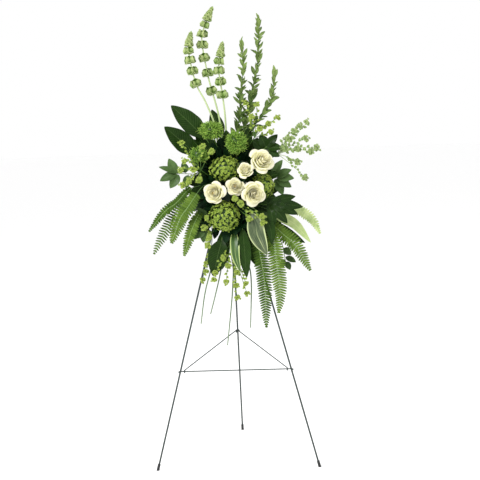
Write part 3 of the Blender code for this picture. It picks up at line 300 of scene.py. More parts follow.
def link(name, data):
    made = bpy.data.objects.new(name, data)
    bpy.context.scene.collection.objects.link(made)
    return made


def show(name, mesh, node, body):
    """Puts a mesh in the scene in place of its plain solid."""
    piece = link(name, mesh)
    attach(piece, body)
    if node:
        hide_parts(node)


def add_piece(name, parts, node, sharp=50):
    """One mesh from its surfaces, moved into the shared frame and welded at seams and poles."""
    starts = np.cumsum([0] + [len(part[0]) for part in parts[:-1]])
    points = np.vstack([part[0] for part in parts]) + SHIFT
    faces = np.vstack([part[1] + start for part, start in zip(parts, starts)])
    uv = np.vstack([part[2] for part in parts])
    tints = np.concatenate([part[3] for part in parts])
    names = list(dict.fromkeys(part[4] for part in parts))
    worn = np.concatenate([np.full(len(part[1]), names.index(part[4])) for part in parts])
    mesh = bpy.data.meshes.new(name)
    mesh.vertices.add(len(points))
    mesh.vertices.foreach_set("co", points.ravel())
    mesh.loops.add(faces.size)
    mesh.loops.foreach_set("vertex_index", faces.ravel())
    mesh.polygons.add(len(faces))
    mesh.polygons.foreach_set("loop_start", np.arange(len(faces)) * 4)
    mesh.polygons.foreach_set("material_index", worn)
    mesh.update(calc_edges=True)
    mesh.uv_layers.new(name="surface").uv.foreach_set("vector", uv[faces.ravel()].ravel())
    mesh.attributes.new("tint", "FLOAT", "POINT").data.foreach_set("value", tints)
    weld(mesh, sharp)
    for used in names:
        mesh.materials.append(finish[used])
    show(name, mesh, node, "front_frame")


def smooth_copy(node, worn, body):
    """A wire or foot tip with its own form, its loose triangles merged and shaded round."""
    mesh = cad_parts[node].data.copy()
    weld(mesh)
    mesh.materials.clear()
    mesh.materials.append(finish[worn])
    show(node + "_smooth", mesh, node, body)


# Finishes: shared effects first


def feed(place, value):
    """Links a node's input to the output given, or sets it to a number, a vector or a colour."""
    if isinstance(value, bpy.types.NodeSocket):
        place.id_data.links.new(value, place)
    else:
        place.default_value = (*value, 1.0) if place.type == "RGBA" else value


def maths(kind, *values, clamp=False):
    """One Math node on sockets and numbers."""
    tree = next(value.id_data for value in values if isinstance(value, bpy.types.NodeSocket))
    node = tree.nodes.new("ShaderNodeMath")
    node.operation = kind
    node.use_clamp = clamp
    for place, value in zip(node.inputs, values):
        feed(place, value)
    return node.outputs[0]


def times(a, b, clamp=False):
    return maths("MULTIPLY", a, b, clamp=clamp)


def scaled(value, by, plus, clamp=False):
    return maths("MULTIPLY_ADD", value, by, plus, clamp=clamp)


def blend(share, low, high):
    """A colour between two, each a socket or a colour."""
    node = share.id_data.nodes.new("ShaderNodeMix")
    node.data_type = "RGBA"
    for place, value in ((0, share), (6, low), (7, high)):
        feed(node.inputs[place], value)
    return node.outputs[2]


def noise(vector, scale, detail=3.0):
    node = vector.id_data.nodes.new("ShaderNodeTexNoise")
    for label, value in (("Vector", vector), ("Scale", scale), ("Detail", detail)):
        feed(node.inputs[label], value)
    return node.outputs["Fac"]


def split(vector):
    node = vector.id_data.nodes.new("ShaderNodeSeparateXYZ")
    feed(node.inputs[0], vector)
    return node.outputs


def from_midrib(u):
    """0 at the midrib and 1 at the edge."""
    return maths("ABSOLUTE", scaled(u, 2.0, -1.0))


def group_of(name, vectors, colours, numbers, gives):
    """A shader group: its tree, its inputs by label and its outputs by label."""
    tree = bpy.data.node_groups.new(name, "ShaderNodeTree")
    for kind, labels in (("Vector", vectors), ("Color", colours), ("Float", numbers)):
        for label in labels:
            tree.interface.new_socket(label, in_out="INPUT", socket_type="NodeSocket" + kind)
    for label in gives:
        kind = "Color" if label == "Colour" else "Float"
        tree.interface.new_socket(label, in_out="OUTPUT", socket_type="NodeSocket" + kind)
    return tree, tree.nodes.new("NodeGroupInput").outputs, tree.nodes.new("NodeGroupOutput").inputs


def make_leaf_group():
    """Leaf green between two tones by tint and mottle, with a midrib and slanting side veins."""
    tree, given, out = group_of(
        "leaf surface", ("Place", "Surface"), ("Deep", "Fresh", "Vein"),
        ("Tint", "Midrib", "Veins", "Strength", "Mottle"), ("Colour", "Height", "Wear"))
    u, v, _ = split(given["Surface"])
    across = from_midrib(u)
    rib = maths("SUBTRACT", 1.0, maths("DIVIDE", across, given["Midrib"]), clamp=True)
    run = maths("SUBTRACT", v, times(across, 0.22))
    wave = maths("SINE", times(times(run, given["Veins"]), TAU))
    side = maths("POWER", scaled(wave, 0.5, 0.5), 9.0)
    mottle = noise(given["Place"], given["Mottle"])
    share = maths("ADD", times(given["Tint"], 0.6), scaled(mottle, 1.1, -0.35), clamp=True)
    green = blend(share, given["Deep"], given["Fresh"])
    veins = times(maths("MAXIMUM", rib, times(side, 0.35)), given["Strength"], clamp=True)
    feed(out["Colour"], blend(veins, green, given["Vein"]))
    feed(out["Height"], maths("ADD", times(maths("ADD", rib, side), -0.5), times(mottle, 0.25)))
    feed(out["Wear"], mottle)
    return tree


def make_petal_group():
    """A colour that runs from base over middle to rim, mottled and shifted by tint."""
    tree, given, out = group_of(
        "petal surface", ("Place", "Surface"), ("Base", "Middle", "Rim", "Tinted"),
        ("Tint", "Mottle", "Streaks", "Middle at", "Rim from", "Rim by"), ("Colour", "Height"))
    u, v, _ = split(given["Surface"])
    mottle = noise(given["Place"], given["Mottle"])
    along = maths("ADD", v, scaled(mottle, 0.24, -0.12))
    low = maths("DIVIDE", along, given["Middle at"], clamp=True)
    reach = maths("SUBTRACT", given["Rim by"], given["Rim from"])
    high = maths("DIVIDE", maths("SUBTRACT", along, given["Rim from"]), reach, clamp=True)
    colour = blend(high, blend(low, given["Base"], given["Middle"]), given["Rim"])
    share = times(given["Tint"], scaled(mottle, 0.9, 0.1), clamp=True)
    feed(out["Colour"], blend(share, colour, given["Tinted"]))
    streak = maths("SINE", times(times(u, given["Streaks"]), TAU))
    feed(out["Height"], maths("ADD", times(streak, 0.2), mottle))
    return tree


def make_tone_group():
    """Two tones mixed by coarse and fine noise, with a matching height."""
    tree, given, out = group_of("mixed tone", ("Place",), ("Low", "High"), ("Coarse", "Fine"),
                                ("Colour", "Height", "Gloss"))
    coarse = noise(given["Place"], given["Coarse"])
    fine = noise(given["Place"], given["Fine"], 2.0)
    share = scaled(maths("ADD", coarse, fine), 1.3, -0.8, clamp=True)
    feed(out["Colour"], blend(share, given["Low"], given["High"]))
    feed(out["Height"], fine)
    feed(out["Gloss"], scaled(coarse, 0.35, 0.30))
    return tree


GROUPS = {"leaf": make_leaf_group(), "petal": make_petal_group(), "tone": make_tone_group()}


def material(name, kind, values, bump, depth, constants):
    """A material whose colour and relief come from a shared group with its own values. Colours
    are tuples in thousandths of full light."""
    made = bpy.data.materials.new(name)
    made.use_nodes = True
    nodes = made.node_tree.nodes
    shader = nodes["Principled BSDF"].inputs
    effect = nodes.new("ShaderNodeGroup")
    effect.node_tree = GROUPS[kind]
    coords = nodes.new("ShaderNodeTexCoord").outputs
    feed(effect.inputs["Place"], coords["Object"])
    if kind != "tone":
        tint = nodes.new("ShaderNodeAttribute")
        tint.attribute_name = "tint"
        feed(effect.inputs["Surface"], coords["UV"])
        feed(effect.inputs["Tint"], tint.outputs["Fac"])
    for label, value in values.items():
        feed(effect.inputs[label], thousandths(value) if isinstance(value, tuple) else value)
    feed(shader["Base Color"], effect.outputs["Colour"])
    relief = nodes.new("ShaderNodeBump")
    for label, value in (("Strength", bump), ("Distance", depth), ("Height", effect.outputs["Height"])):
        feed(relief.inputs[label], value)
    feed(shader["Normal"], relief.outputs["Normal"])
    for label, value in constants.items():
        feed(shader[label], value)
    return made, shader, effect.outputs


def thousandths(colour):
    return tuple(part / 1000 for part in colour)


def leaf_finish(name, deep, fresh, vein, rough=0.42, coat=0.0, veins=9.0, midrib=0.06,
                strength=0.5, mottle=60.0):
    made, shader, effect = material(
        name, "leaf", {"Deep": deep, "Fresh": fresh, "Vein": vein, "Midrib": midrib, "Veins": veins,
                       "Strength": strength, "Mottle": mottle}, 0.6, 0.0006,
        {"Specular IOR Level": 0.07, "Coat Weight": coat, "Coat Roughness": 0.25})
    feed(shader["Roughness"], scaled(effect["Wear"], 0.30, rough - 0.15))
    return made


def petal_finish(name, base, middle, rim, tinted, rough=0.6, soft=0.0, mottle=80.0, bump=0.25,
                 streaks=14.0, steps=(0.45, 0.7, 1.0)):
    return material(
        name, "petal", {"Base": base, "Middle": middle, "Rim": rim, "Tinted": tinted, "Mottle": mottle,
                        "Streaks": streaks, "Middle at": steps[0], "Rim from": steps[1],
                        "Rim by": steps[2]}, bump, 0.0004,
        {"Roughness": rough, "Specular IOR Level": 0.3, "Subsurface Weight": soft,
         "Subsurface Scale": 0.005, "Subsurface Radius": (0.8, 1.0, 0.4)})[0]


def tone_finish(name, low, high, coarse, fine, bump, metal=0.0, coat=0.0, depth=0.0004):
    made, shader, effect = material(
        name, "tone", {"Low": low, "High": high, "Coarse": coarse, "Fine": fine}, bump, depth,
        {"Metallic": metal, "Coat Weight": coat})
    feed(shader["Roughness"], effect["Gloss"])
    return made


def striped_finish(name, dark, fresh, cream, edge_at):
    """A green blade with cream bands along it: a ramp over the distance from its midrib."""
    made, shader, effect = material(
        name, "leaf", {"Deep": dark, "Fresh": fresh, "Vein": cream, "Midrib": 0.10, "Veins": 0.0,
                       "Strength": 0.9, "Mottle": 50.0}, 0.4, 0.0006, {"Roughness": 0.42})
    nodes = made.node_tree.nodes
    coords = nodes.new("ShaderNodeUVMap")
    coords.uv_map = "surface"
    surface = coords.outputs["UV"]
    stretch = nodes.new("ShaderNodeMapping")
    stretch.inputs["Scale"].default_value = (9.0, 0.7, 1.0)
    feed(stretch.inputs["Vector"], surface)
    stretched = stretch.outputs["Vector"]
    band = nodes.new("ShaderNodeValToRGB")
    band.color_ramp.elements[0].position = edge_at - 0.06
    band.color_ramp.elements[1].position = edge_at + 0.06
    wander = scaled(noise(stretched, 1.6), 0.42, -0.21)
    feed(band.inputs["Fac"], maths("ADD", from_midrib(split(surface)[0]), wander))
    fine = scaled(noise(stretched, 3.0), 6.0, -2.6, clamp=True)
    ground = blend(fine, thousandths(dark), effect["Colour"])
    feed(shader["Base Color"], blend(band.outputs["Color"], ground, thousandths(cream)))
    return made


finish = {  # colours in thousandths
    "wire": tone_finish("easel paint", (16, 28, 26), (40, 56, 52), 60, 900, 0.15, metal=0.2, coat=0.10),
    "tip": tone_finish("foot tip rubber", (8, 9, 9), (18, 19, 19), 40, 700, 0.2),
    "foam": tone_finish("floral foam", (6, 34, 14), (20, 75, 30), 90, 1500, 0.8, depth=0.0010),
    "tray": tone_finish("tray plastic", (4, 18, 8), (9, 30, 13), 25, 600, 0.12),
    # the bright vein colour is a real pale midrib, lightened further as painted sheen
    "broad": leaf_finish("broad dark leaf", (5, 16, 2), (15, 44, 4), (140, 220, 70), rough=0.32,
        coat=0.04, veins=15.0, midrib=0.05, strength=0.34),
    # near-black backing leaves: painted shade in the gaps between the blooms
    "shade": leaf_finish("backing leaf in painted shade", (1, 6, 2), (5, 26, 6), (30, 70, 24), rough=0.45,
        veins=8.0),
    "salal": leaf_finish("oval leaf", (24, 54, 12), (80, 140, 44), (110, 180, 50), rough=0.42, coat=0.04,
        veins=6.0),
    "spike": leaf_finish("spike leaf", (30, 74, 11), (205, 285, 82), (260, 355, 130), rough=0.52,
        veins=5.0, midrib=0.16),
    "fern": leaf_finish("fern leaflet", (32, 72, 7), (118, 195, 26), (180, 265, 55), rough=0.58,
        veins=5.0, midrib=0.20, mottle=35.0),
    "rib": petal_finish("fern rib", (90, 170, 36), (200, 310, 100), (260, 370, 130), (170, 280, 80),
        rough=0.5, mottle=120.0),
    "fern_deep": leaf_finish("deep fern leaflet", (18, 48, 5), (66, 128, 14), (105, 175, 28), rough=0.58,
        veins=5.0, midrib=0.20, mottle=35.0),
    "pale": leaf_finish("pale leaf", (260, 375, 120), (560, 640, 300), (600, 670, 360), rough=0.50,
        veins=16.0, midrib=0.10),
    "striped": striped_finish("cream striped leaf", (24, 72, 8), (64, 140, 20), (430, 530, 190), 0.78),
    "variegated": striped_finish("grey variegated leaf", (18, 44, 8), (190, 225, 110), (430, 500, 230),
        0.84),
    "stem": petal_finish("green stem", (42, 96, 16), (70, 145, 26), (110, 200, 40), (54, 120, 20),
        rough=0.5, mottle=120.0),
    "pale_stem": petal_finish("pale bell stem", (310, 420, 160), (450, 540, 270), (420, 530, 210),
        (350, 460, 190), rough=0.5),
    # past the mouth the calyx turns dark green on its inside: painted shade in each cup's throat
    "bell": petal_finish("bell calyx", (118, 212, 34), (390, 445, 190), (70, 175, 16), (100, 210, 26),
        rough=0.55, soft=0.05, mottle=220.0, streaks=10.0, steps=(0.52, 0.53, 0.66)),
    "bud": petal_finish("bell bud", (130, 270, 36), (210, 360, 70), (330, 480, 130), (130, 270, 36),
        rough=0.55),
    # the base and the tinted cream of the inner rings are lightened partly as painted light against the
    # shade in the heart; their yellow is the rose's own
    "petal": petal_finish("cream petal", (740, 735, 340), (900, 880, 560), (735, 710, 530),
        (980, 930, 600), rough=0.7, soft=0.08, mottle=70.0, bump=0.12, steps=(0.55, 0.66, 0.95)),
    "heart": petal_finish("rose heart", (520, 340, 90), (660, 500, 180), (800, 690, 330), (560, 380, 100),
        rough=0.7, mottle=300.0),
    # the pale rims of the petallets are partly real colour and partly painted highlight
    "lime": petal_finish("lime floret", (104, 180, 10), (300, 400, 48), (540, 650, 190), (75, 160, 10),
        rough=0.55, soft=0.05),
    # near-black head core: painted shade showing between the florets and needles
    "painted_shade_core": tone_finish("painted shade head core", (8, 34, 3), (30, 85, 8), 80, 500, 0.3),
    # its darker tinted colour is painted shade in the hollows between the lumps
    "fuzzy": petal_finish("fuzzy needle", (20, 64, 5), (140, 280, 30), (430, 580, 100), (46, 130, 10),
        rough=0.65),
    "filler": petal_finish("filler floret", (90, 170, 16), (265, 345, 48), (450, 530, 130),
        (130, 215, 26), rough=0.6, soft=0.05),
    "pale_filler": petal_finish("pale filler floret", (105, 180, 46), (280, 360, 128), (430, 540, 240),
        (120, 210, 55), rough=0.6, soft=0.05),
    "grass": petal_finish("hanging stem", (60, 112, 45), (110, 170, 85), (160, 220, 120), (80, 130, 60),
        rough=0.5),
}

# Easel, tray and foam keep their own form
EASEL = {"top_bar": "front_frame", "front_leg_left": "front_frame", "front_leg_right": "front_frame",
         "crossbar": "front_frame", "back_leg": "rear_leg", "brace_arm_left": "brace",
         "brace_arm_right": "brace"}
for node, body in EASEL.items():
    smooth_copy(node, "wire", body)
for node, body in (("foot_tip_left", "front_frame"), ("foot_tip_right", "front_frame"),
                   ("foot_tip_back", "rear_leg")):
    smooth_copy(node, "tip", body)
for node, worn in (("foam_brick", "foam"), ("foam_tray", "tray")):
    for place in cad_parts[node].material_slots:
        place.material = finish[worn]

# Flowers

# the tint column leans the inner rings to the lighter tinted cream, partly painted light in the heart
ROSE_RINGS = (  # petals, half angle, reach, height above the heel, rolled rim, tint
    (3, 1.60, 0.10, 1.72, 0.00, 0.95), (3, 1.50, 0.20, 1.72, 0.03, 0.80),
    (3, 1.40, 0.31, 1.68, 0.07, 0.60), (4, 1.10, 0.43, 1.60, 0.12, 0.45),
    (5, 0.95, 0.55, 1.50, 0.16, 0.25), (5, 0.88, 0.70, 1.32, 0.24, 0.10),
    (5, 0.80, 0.84, 1.08, 0.32, 0.00))


def petals(heel, axis, side, up, middle, wide, reach, tall, roll, across=13, rows=12):
    """Petals round an axis: angle = middle + wide a (0.55 + 0.45 h), drawn in to a blunt point at
    the rim; out = reach (0.10 + 0.90 sin(h pi/2)^0.7) with one edge outside the next petal;
    rise = tall h, lower at the sides; past h = 0.66 the rim rolls outwards and down."""
    a = np.linspace(-1, 1, across)[None, :, None]
    h = np.linspace(0, 1, rows)[None, None, :] ** 0.85
    middle, reach, tall, roll = (np.reshape(x, (-1, 1, 1)) for x in (middle, reach, tall, roll))
    past = np.clip((h - 0.66) / 0.34, 0, 1)
    angle = middle + wide * a * (0.55 + 0.45 * h) * (1 - 0.34 * past ** 2)
    out = reach * (0.10 + 0.90 * np.sin(h * math.pi / 2) ** 0.7) * (1 + 0.10 * a * h)
    out = out + roll * reach * past ** 1.6 * (1.0 - 0.55 * a ** 2)
    ripple = 0.03 * reach * np.sin(3.4 * a + 5 * middle) * h ** 2
    rise = tall * h * (1 - 0.16 * h * a ** 2) - roll * reach * past ** 2.2 * 1.1 + ripple
    spoke = side * np.cos(angle)[..., None] + up * np.sin(angle)[..., None]
    return heel + spoke * out[..., None] + axis * rise[..., None]


def rose(name, centre, axis, radius, hole, opened):
    """A bloom of rings of cupped petals that open outwards, with sepals, calyx and stem."""
    centre, radius, axis = mm(centre), mm(radius), unit(np.array(axis))
    heel = centre - axis * radius * 0.75
    draw = seeded(name)
    side = square_to(axis[None], 0.4)[0]
    up = np.cross(axis, side)
    stem = stem_path(hole, [heel - axis * 0.012, heel + axis * 0.004], 16)
    parts = [stalk(stem, 0.0024)]
    for ring, (count, wide, reach, tall, roll, tint) in enumerate(ROSE_RINGS):
        middle = TAU * (np.arange(count) + 0.5 * ring) / count + draw.normal(0, 0.10, count)
        wider, lower = (1.25, 0.86) if opened and ring < 2 else (1, 1)
        reaches = radius * reach * draw.uniform(0.95, 1.04, count) * wider
        talls = radius * tall * draw.uniform(0.96, 1.02, count) * lower
        rolls = roll * draw.uniform(0.7, 1.3, count)
        grid = petals(heel, axis, side, up, middle, wide, reaches, talls, rolls)
        parts.append(shells(grid, "petal", np.clip(tint + draw.normal(0, 0.06, count), 0, 1)))
    tuft = ball_ways(26)[:13]
    tuft = unit(tuft[:, [0]] * side + tuft[:, [2]] * up + np.abs(tuft[:, [1]]) * axis * 1.5)
    heart = heel + axis * radius * (1.12 if opened else 0.95)
    parts.append(pods(heart - tuft * 0.001, heart + tuft * radius * 0.24, axis, 0.0016, 0.0016,
                      "heart" if opened else "petal", BUD, 4, tint=draw.random(13)))
    turn = np.arange(5) * TAU / 5
    spoke = side * np.cos(turn)[:, None] + up * np.sin(turn)[:, None]
    sepal = heel + spoke * radius * 0.50 + axis * radius * 0.10
    parts += [leaves(heel + spoke * 0.002, sepal, -axis, radius * 0.22, "stem", bend=-0.08, widest=0.3,
                     across=3, rows=6),
              pods(heel - axis * 0.010, heel + axis * 0.010, side, 0.013, 0.013, "stem", BUD, 10)]
    add_piece(name + "_bloom", parts, name, sharp=60)


def lumps(ways, count, depth, turn):
    """Swelling of a head: 1 less a share of the distance to the nearest of a few evenly spread ways."""
    near = (ways @ unit(ball_ways(count, turn)).T).max(axis=1)
    return 1 - depth * np.clip((1 - near) / 0.12, 0, 1)[:, None]


def head_core(hole, centre, radii, heel, stem, core):
    """The stem and the dark core of a round head, a globe whose near-black colour is painted shade
    between the florets or needles; the stem enters it at a part of its radius.
    """
    entry, inward = root(hole)
    heel = centre + unit(entry - inward * 0.02 - centre) * radii.min() * heel
    return [stalk(stem_path(hole, [heel, centre], 14), stem), globe(centre, radii * core, "painted_shade_core")]


def lime_head(name, centre, radii, hole, florets=230, size=0.0080):
    """A domed, lumpy head: five petallets round each floret, at jittered heights over a dark core of
    painted shade.
    """
    centre, radii = mm(centre), mm(radii)
    draw = seeded(name)
    parts = head_core(hole, centre, radii, 0.6, 0.0028, 0.74)
    ways = unit(ball_ways(florets, 0.3) + draw.normal(0, 0.06, (florets, 3)))
    out = ways * radii * lumps(ways, 22, 0.06, 1.0)
    axis = unit(out + draw.normal(0, 0.2, out.shape) * radii.min())
    middle = centre + out * draw.uniform(0.80, 1.04, (florets, 1))
    tint = draw.random(florets)
    parts.append(pods(centre + out * 0.70, middle, square_to(axis), 0.0012, 0.0012, "stem", ROD, 3))
    for k in range(5):
        turn = draw.uniform(-0.2, 0.2, florets) + k * TAU / 5 + tint * 6
        spoke = square_to(axis, turn)
        reach = size * draw.uniform(0.72, 1.08, (florets, 1))
        parts.append(pods(middle, middle + spoke * reach * 0.86 + axis * reach * draw.uniform(0.1, 0.7),
                          axis, size * 0.72, size * 0.20, "lime", PETALLET, 4, tint=tint))
    parts.append(pods(middle - axis * 0.0004, middle + axis * 0.0030, square_to(axis), 0.0030, 0.0030,
                      "lime", BUD, 4, tint=tint * 0.3))
    add_piece(name + "_florets", parts, name, sharp=30)


def fuzzy_head(name, centre, radii, hole, needles=1500):
    """A mossy ball: short curled three-sided needles over a lumpy form, with painted shade darkening the
    needles between its lumps.
    """
    centre, radii = mm(centre), mm(radii)
    draw = seeded(name)
    ways = ball_ways(needles)
    swell = lumps(ways, 19, 0.22, 0.5)
    out = ways * radii * swell
    lean = draw.normal(0, 0.11, (needles, 3)) * radii
    tips = centre + out * draw.uniform(0.86, 1.0, (needles, 1)) + lean
    # needles in the hollows between lumps lean to the darker tinted colour: painted shade
    tint = np.clip((1 - swell[:, 0]) * 5 + draw.normal(0, 0.15, needles), 0, 1)
    parts = head_core(hole, centre, radii, 0.5, 0.0024, 0.66)
    face = square_to(unit(out), draw.random(needles) * TAU)
    parts.append(pods(centre + out * 0.60, tips, face, 0.0048, 0.0030, "fuzzy", THORN, 3,
                      bend=draw.normal(0, 0.30, needles), tint=tint))
    add_piece(name + "_needles", parts, name, sharp=40)


def bell_spike(name, hole, route, whorls):
    """A pale stem with a cone of small overlapping calyces at its tip, then whorls of rounded cups
    further and further apart, each cup with a seed bud in its mouth."""
    path = stem_path(hole, mm(route), 60)
    total = length_of(path)
    draw = seeded(name)
    parts = [stalk(path, 0.0037, 0.0018, "pale_stem", 8)]
    step, back = 0.024, 0.014
    rings = [(0.004 + 0.0068 * k, 0.36 + 0.07 * k, 4 if k < 2 else 5, 1.5 - 0.13 * k) for k in range(7)]
    for k in range(whorls):
        if k > 1:
            rings.append((back, min(1.0, 0.72 + 0.08 * k), 5, 0.20))
        back += step
        step *= 1.18
    for k, (below, size, around, lean) in enumerate(rings):
        place, way = read_at(path, np.full(around, 1 - below / total))
        turn = TAU * np.arange(around) / around + 0.7 * k + draw.normal(0, 0.08, around)
        out = square_to(way, turn)
        axis = unit(way * (lean + draw.normal(0, 0.10, (around, 1))) + out)
        sizes = size * draw.uniform(0.92, 1.06, around)
        parts.append(cups(place + out * 0.0008, axis, 0.0134 * sizes, 0.0160 * sizes, "bell",
                          draw.random(around)))
        seed = place + axis * 0.0060 * size
        parts.append(pods(seed, seed + axis * 0.0055 * size, way, 0.0042 * size, 0.0042 * size, "bud",
                          BUD, 5))
        if size > 0.8:
            tilt = unit(out - way * 0.5)
            parts.append(leaves(place, place + tilt * 0.015, way, 0.005, "bud", across=3, rows=4))
    place, way = read_at(path, np.array([0.999]))
    parts.append(pods(place - way * 0.010, place + way * 0.008, square_to(way), 0.008, 0.008, "bud",
                      BUD, 6))
    add_piece(name + "_bells", parts, name, sharp=55)


def leafy_spike(name, hole, route, count, bare):
    """An upright stem with lance leaves that wind round it by the golden angle and point up."""
    path = stem_path(hole, mm(route), 60)
    total = length_of(path)
    draw = seeded(name)
    bare = mm(bare)
    t = (np.arange(count) + 0.5) / count
    place, way = read_at(path, (bare + t * (total - bare) * 0.985) / total)
    out = square_to(way, np.arange(count) * GOLDEN)
    lean = draw.uniform(0.45, 2.3, (count, 1)) + (t[:, None] > 0.9) * 1.4
    long = (0.043 * (1 - 0.30 * t) * draw.uniform(0.55, 1.08, count))[:, None]
    tip = place + unit(way * lean + out) * long
    face = way * 0.5 + np.array([0, -0.8, 0.1]) + draw.normal(0, 0.35, way.shape)
    parts = [stalk(path, 0.0022, 0.0011, "stem", 7),
             leaves(place, tip, face, long[:, 0] * draw.uniform(0.27, 0.44, count), "spike", bend=0.06,
                    fold=0.35, rows=7, tint=np.clip(t * 0.9 + draw.normal(0, 0.22, count), 0, 1))]
    add_piece(name + "_leaves", parts, name, sharp=70)


# Foliage


def lance(width, widest, count):
    """Half-widths along a leaf that is widest at a given part and pointed at its tip."""
    parts = np.linspace(0, 1, count)
    rise = np.where(parts < widest, parts / widest, (1 - parts) / (1 - widest))
    return 0.0005 + (width / 2 - 0.0005) * np.sin(rise * math.pi / 2) ** 0.8


def midrib(path, back):
    """A thin rib along a leaf, set back by a little and ended before its tip."""
    return stalk(path[:-2] + np.array([0, back, 0]), 0.0009, 0.0004, "stem", 5)


def long_leaf(name, worn, hole, route, width, bare=0.3, face=(0, -1, 0.15), fold=0.22,
              widest=0.4, wave=0.05, rib=0.0011, waves=3.0, tint=0.5):
    """A broad leaf on its stalk: the blade takes the part of the route past bare, with its midrib."""
    path = stem_path(hole, mm(route), 90)
    first = int(bare * (len(path) - 1))
    past = curve(path[first:], 46)
    grid = blade(past, lance(mm(width), widest, len(past)), face, fold, wave, waves)
    _, _, normal = frames(past, np.array(face, float))
    parts = [stalk(path[:first + 4], 0.0020, 0.0014), shells(grid, worn, tint, BLADE_WALL),
             stalk((past - normal * rib * 0.6)[:42], rib, 0.0004,
                   "pale_stem" if worn in ("pale", "striped", "variegated") else "stem", 6)]
    add_piece(name + "_blade", parts, name, sharp=70)


def read_along(rows, count):
    """The rows read at so many even steps, each a straight blend of its neighbours."""
    at = np.linspace(0, len(rows) - 1, count)
    low = np.minimum(at.astype(int), len(rows) - 2)
    share = (at - low)[:, None]
    return rows[low] * (1 - share) + rows[low + 1] * share


def fern(name, worn, hole, route, width, bare=0.3, face=(0, -1, 0.15), pitch=0.0084,
         overlap=1.24, slant=0.12):
    """A frond: a rib with leaflets on both sides that slant towards the tip. Leaflets wider than
    their pitch make a serrated blade, narrower ones stand apart like a comb."""
    path = stem_path(hole, mm(route), 90)
    first = int(bare * (len(path) - 1))
    past = curve(path[first:], 60)
    draw = seeded(name)
    pairs = int(length_of(past) / pitch)
    t = (np.arange(pairs) + 0.5) / pairs
    swell = np.sin(math.pi * (0.16 + 0.82 * t)) ** 0.7
    place, way = read_at(past, t)
    side = unit(np.cross(way, face))
    normal = np.cross(side, way)
    rib = past + read_along(normal, 60) * 0.0008
    parts = [stalk(path, 0.0017, 0.0007, "pale_stem" if worn == "pale" else "stem", 6),
             stalk(rib, 0.0018, 0.0008, "pale_stem" if worn == "pale" else "rib", 6)]
    for hand in (-1, 1):
        long = 0.5 * mm(width) * swell * draw.uniform(0.92, 1.05, pairs)
        lift = draw.normal(0.06, 0.10, (pairs, 1))
        reach = unit(side * hand + way * (slant + 0.4 * t[:, None] ** 2) + normal * lift)
        tip = place + reach * long[:, None] + way * 0.002
        parts.append(leaves(place - reach * 0.001, tip, normal, pitch * overlap * (1 - 0.30 * t), worn,
                            bend=0.05, across=3, rows=7, widest=0.32, blunt=0.28, fold=0.30,
                            tint=np.clip(0.20 + 0.55 * t + draw.normal(0, 0.26, pairs), 0, 1)))
    parts.append(leaves(past[-3], past[-1] + (past[-1] - past[-3]) * 0.2, normal[-1], 0.005, worn,
                        across=3, rows=5))
    add_piece(name + "_frond", parts, name, sharp=70)


def leaf_spray(name, worn, hole, twig, given):
    """A twig with oval leaves, each on a short stalk, given by base, tip and width."""
    path = stem_path(hole, mm(twig), 30)
    draw = seeded(name)
    base, tip, width = (mm(column) for column in zip(*given))
    near = path[np.argmin(np.linalg.norm(path[None] - base[:, None], axis=-1), axis=1)]
    face = np.array([0.1, -1, 0.3]) + draw.normal(0, 0.12, (len(given), 3))
    start = near + (tip - near) * 0.10
    parts = [stalk(path, 0.0020, 0.0011),
             pods(near, start + (tip - near) * 0.03, face, 0.0018, 0.0018, "stem", ROD, 5),
             leaves(start, tip, face, width, worn, bend=draw.uniform(0.03, 0.10, len(given)), fold=0.28,
                    across=9, rows=15, widest=0.42, blunt=0.75, wave=0.05,
                    tint=draw.random(len(given)))]
    add_piece(name + "_leaves", parts, name, sharp=70)


def star_spray(name, worn, hole, hub, heads, size=12.5):
    """A branching filler: thin bowed branches from a hub, each with a cluster of starred florets
    over a ruff of small round bracts, and a few bracts along the branch."""
    hub, heads, size = mm(hub), mm(heads), mm(size)
    draw = seeded(name)
    count = len(heads)
    bark = "pale_stem" if worn == "pale_filler" else "stem"
    parts = [stalk(stem_path(hole, [hub], 14), 0.0016, tint=0.6), globe(hub, [0.0024] * 3, "stem")]
    for head in heads:
        bow = (hub + head) / 2 + draw.normal(0, 0.004, 3) + np.array([0, 0, 0.006])
        branch = curve([hub, bow, head], 12)
        parts.append(stalk(branch, 0.0013, 0.0009, bark, 5))
        place, way = read_at(branch, np.linspace(0.42, 0.95, 7))
        out = unit(square_to(way, draw.random(7) * TAU) + way * 0.6)
        parts.append(leaves(place, place + out * size * 0.95, (0.1, -1, 0.2), size * 0.62, worn,
                            across=5, rows=6, blunt=0.55, tint=draw.uniform(0.4, 1, 7)))
    around = 7
    way = unit(np.repeat(heads - hub, around, axis=0) + np.array([0, -0.06, 0.02]))
    turn = np.tile(np.arange(around) * TAU / around, count) + np.repeat(draw.random(count) * 6, around)
    foot = np.repeat(heads, around, axis=0)
    middle = (foot + square_to(way, turn) * size * draw.uniform(0.15, 0.85, (len(way), 1))
              + way * size * draw.uniform(-0.20, 0.75, (len(way), 1)))
    parts.append(pods(foot - way * 0.002, middle, square_to(way), 0.0010, 0.0010, "stem", ROD, 3))
    spoke = unit(square_to(way, turn + 0.4) - way * 0.3)
    parts.append(leaves(foot, foot + spoke * size * 0.95, (0.1, -1, 0.3), size * 0.75, worn,
                        across=5, rows=6, blunt=0.5, tint=draw.uniform(0.5, 1, len(way))))
    face = unit(way * 0.6 + draw.normal(0, 0.3, way.shape) + np.array([0, -0.8, 0.3]))
    tint = draw.random(len(middle)) * 0.8
    for k in range(5):
        spoke = square_to(face, k * TAU / 5 + tint * 6)
        parts.append(pods(middle, middle + spoke * size * 0.38 + face * 0.0016, face, size * 0.30,
                          0.0013, worn, PETALLET, 4, tint=tint))
    parts.append(pods(middle - face * 0.0008, middle + face * 0.0028, square_to(face), 0.0032, 0.0032,
                      worn, BUD, 5, tint=tint * 0.2))
    add_piece(name + "_florets", parts, name, sharp=40)


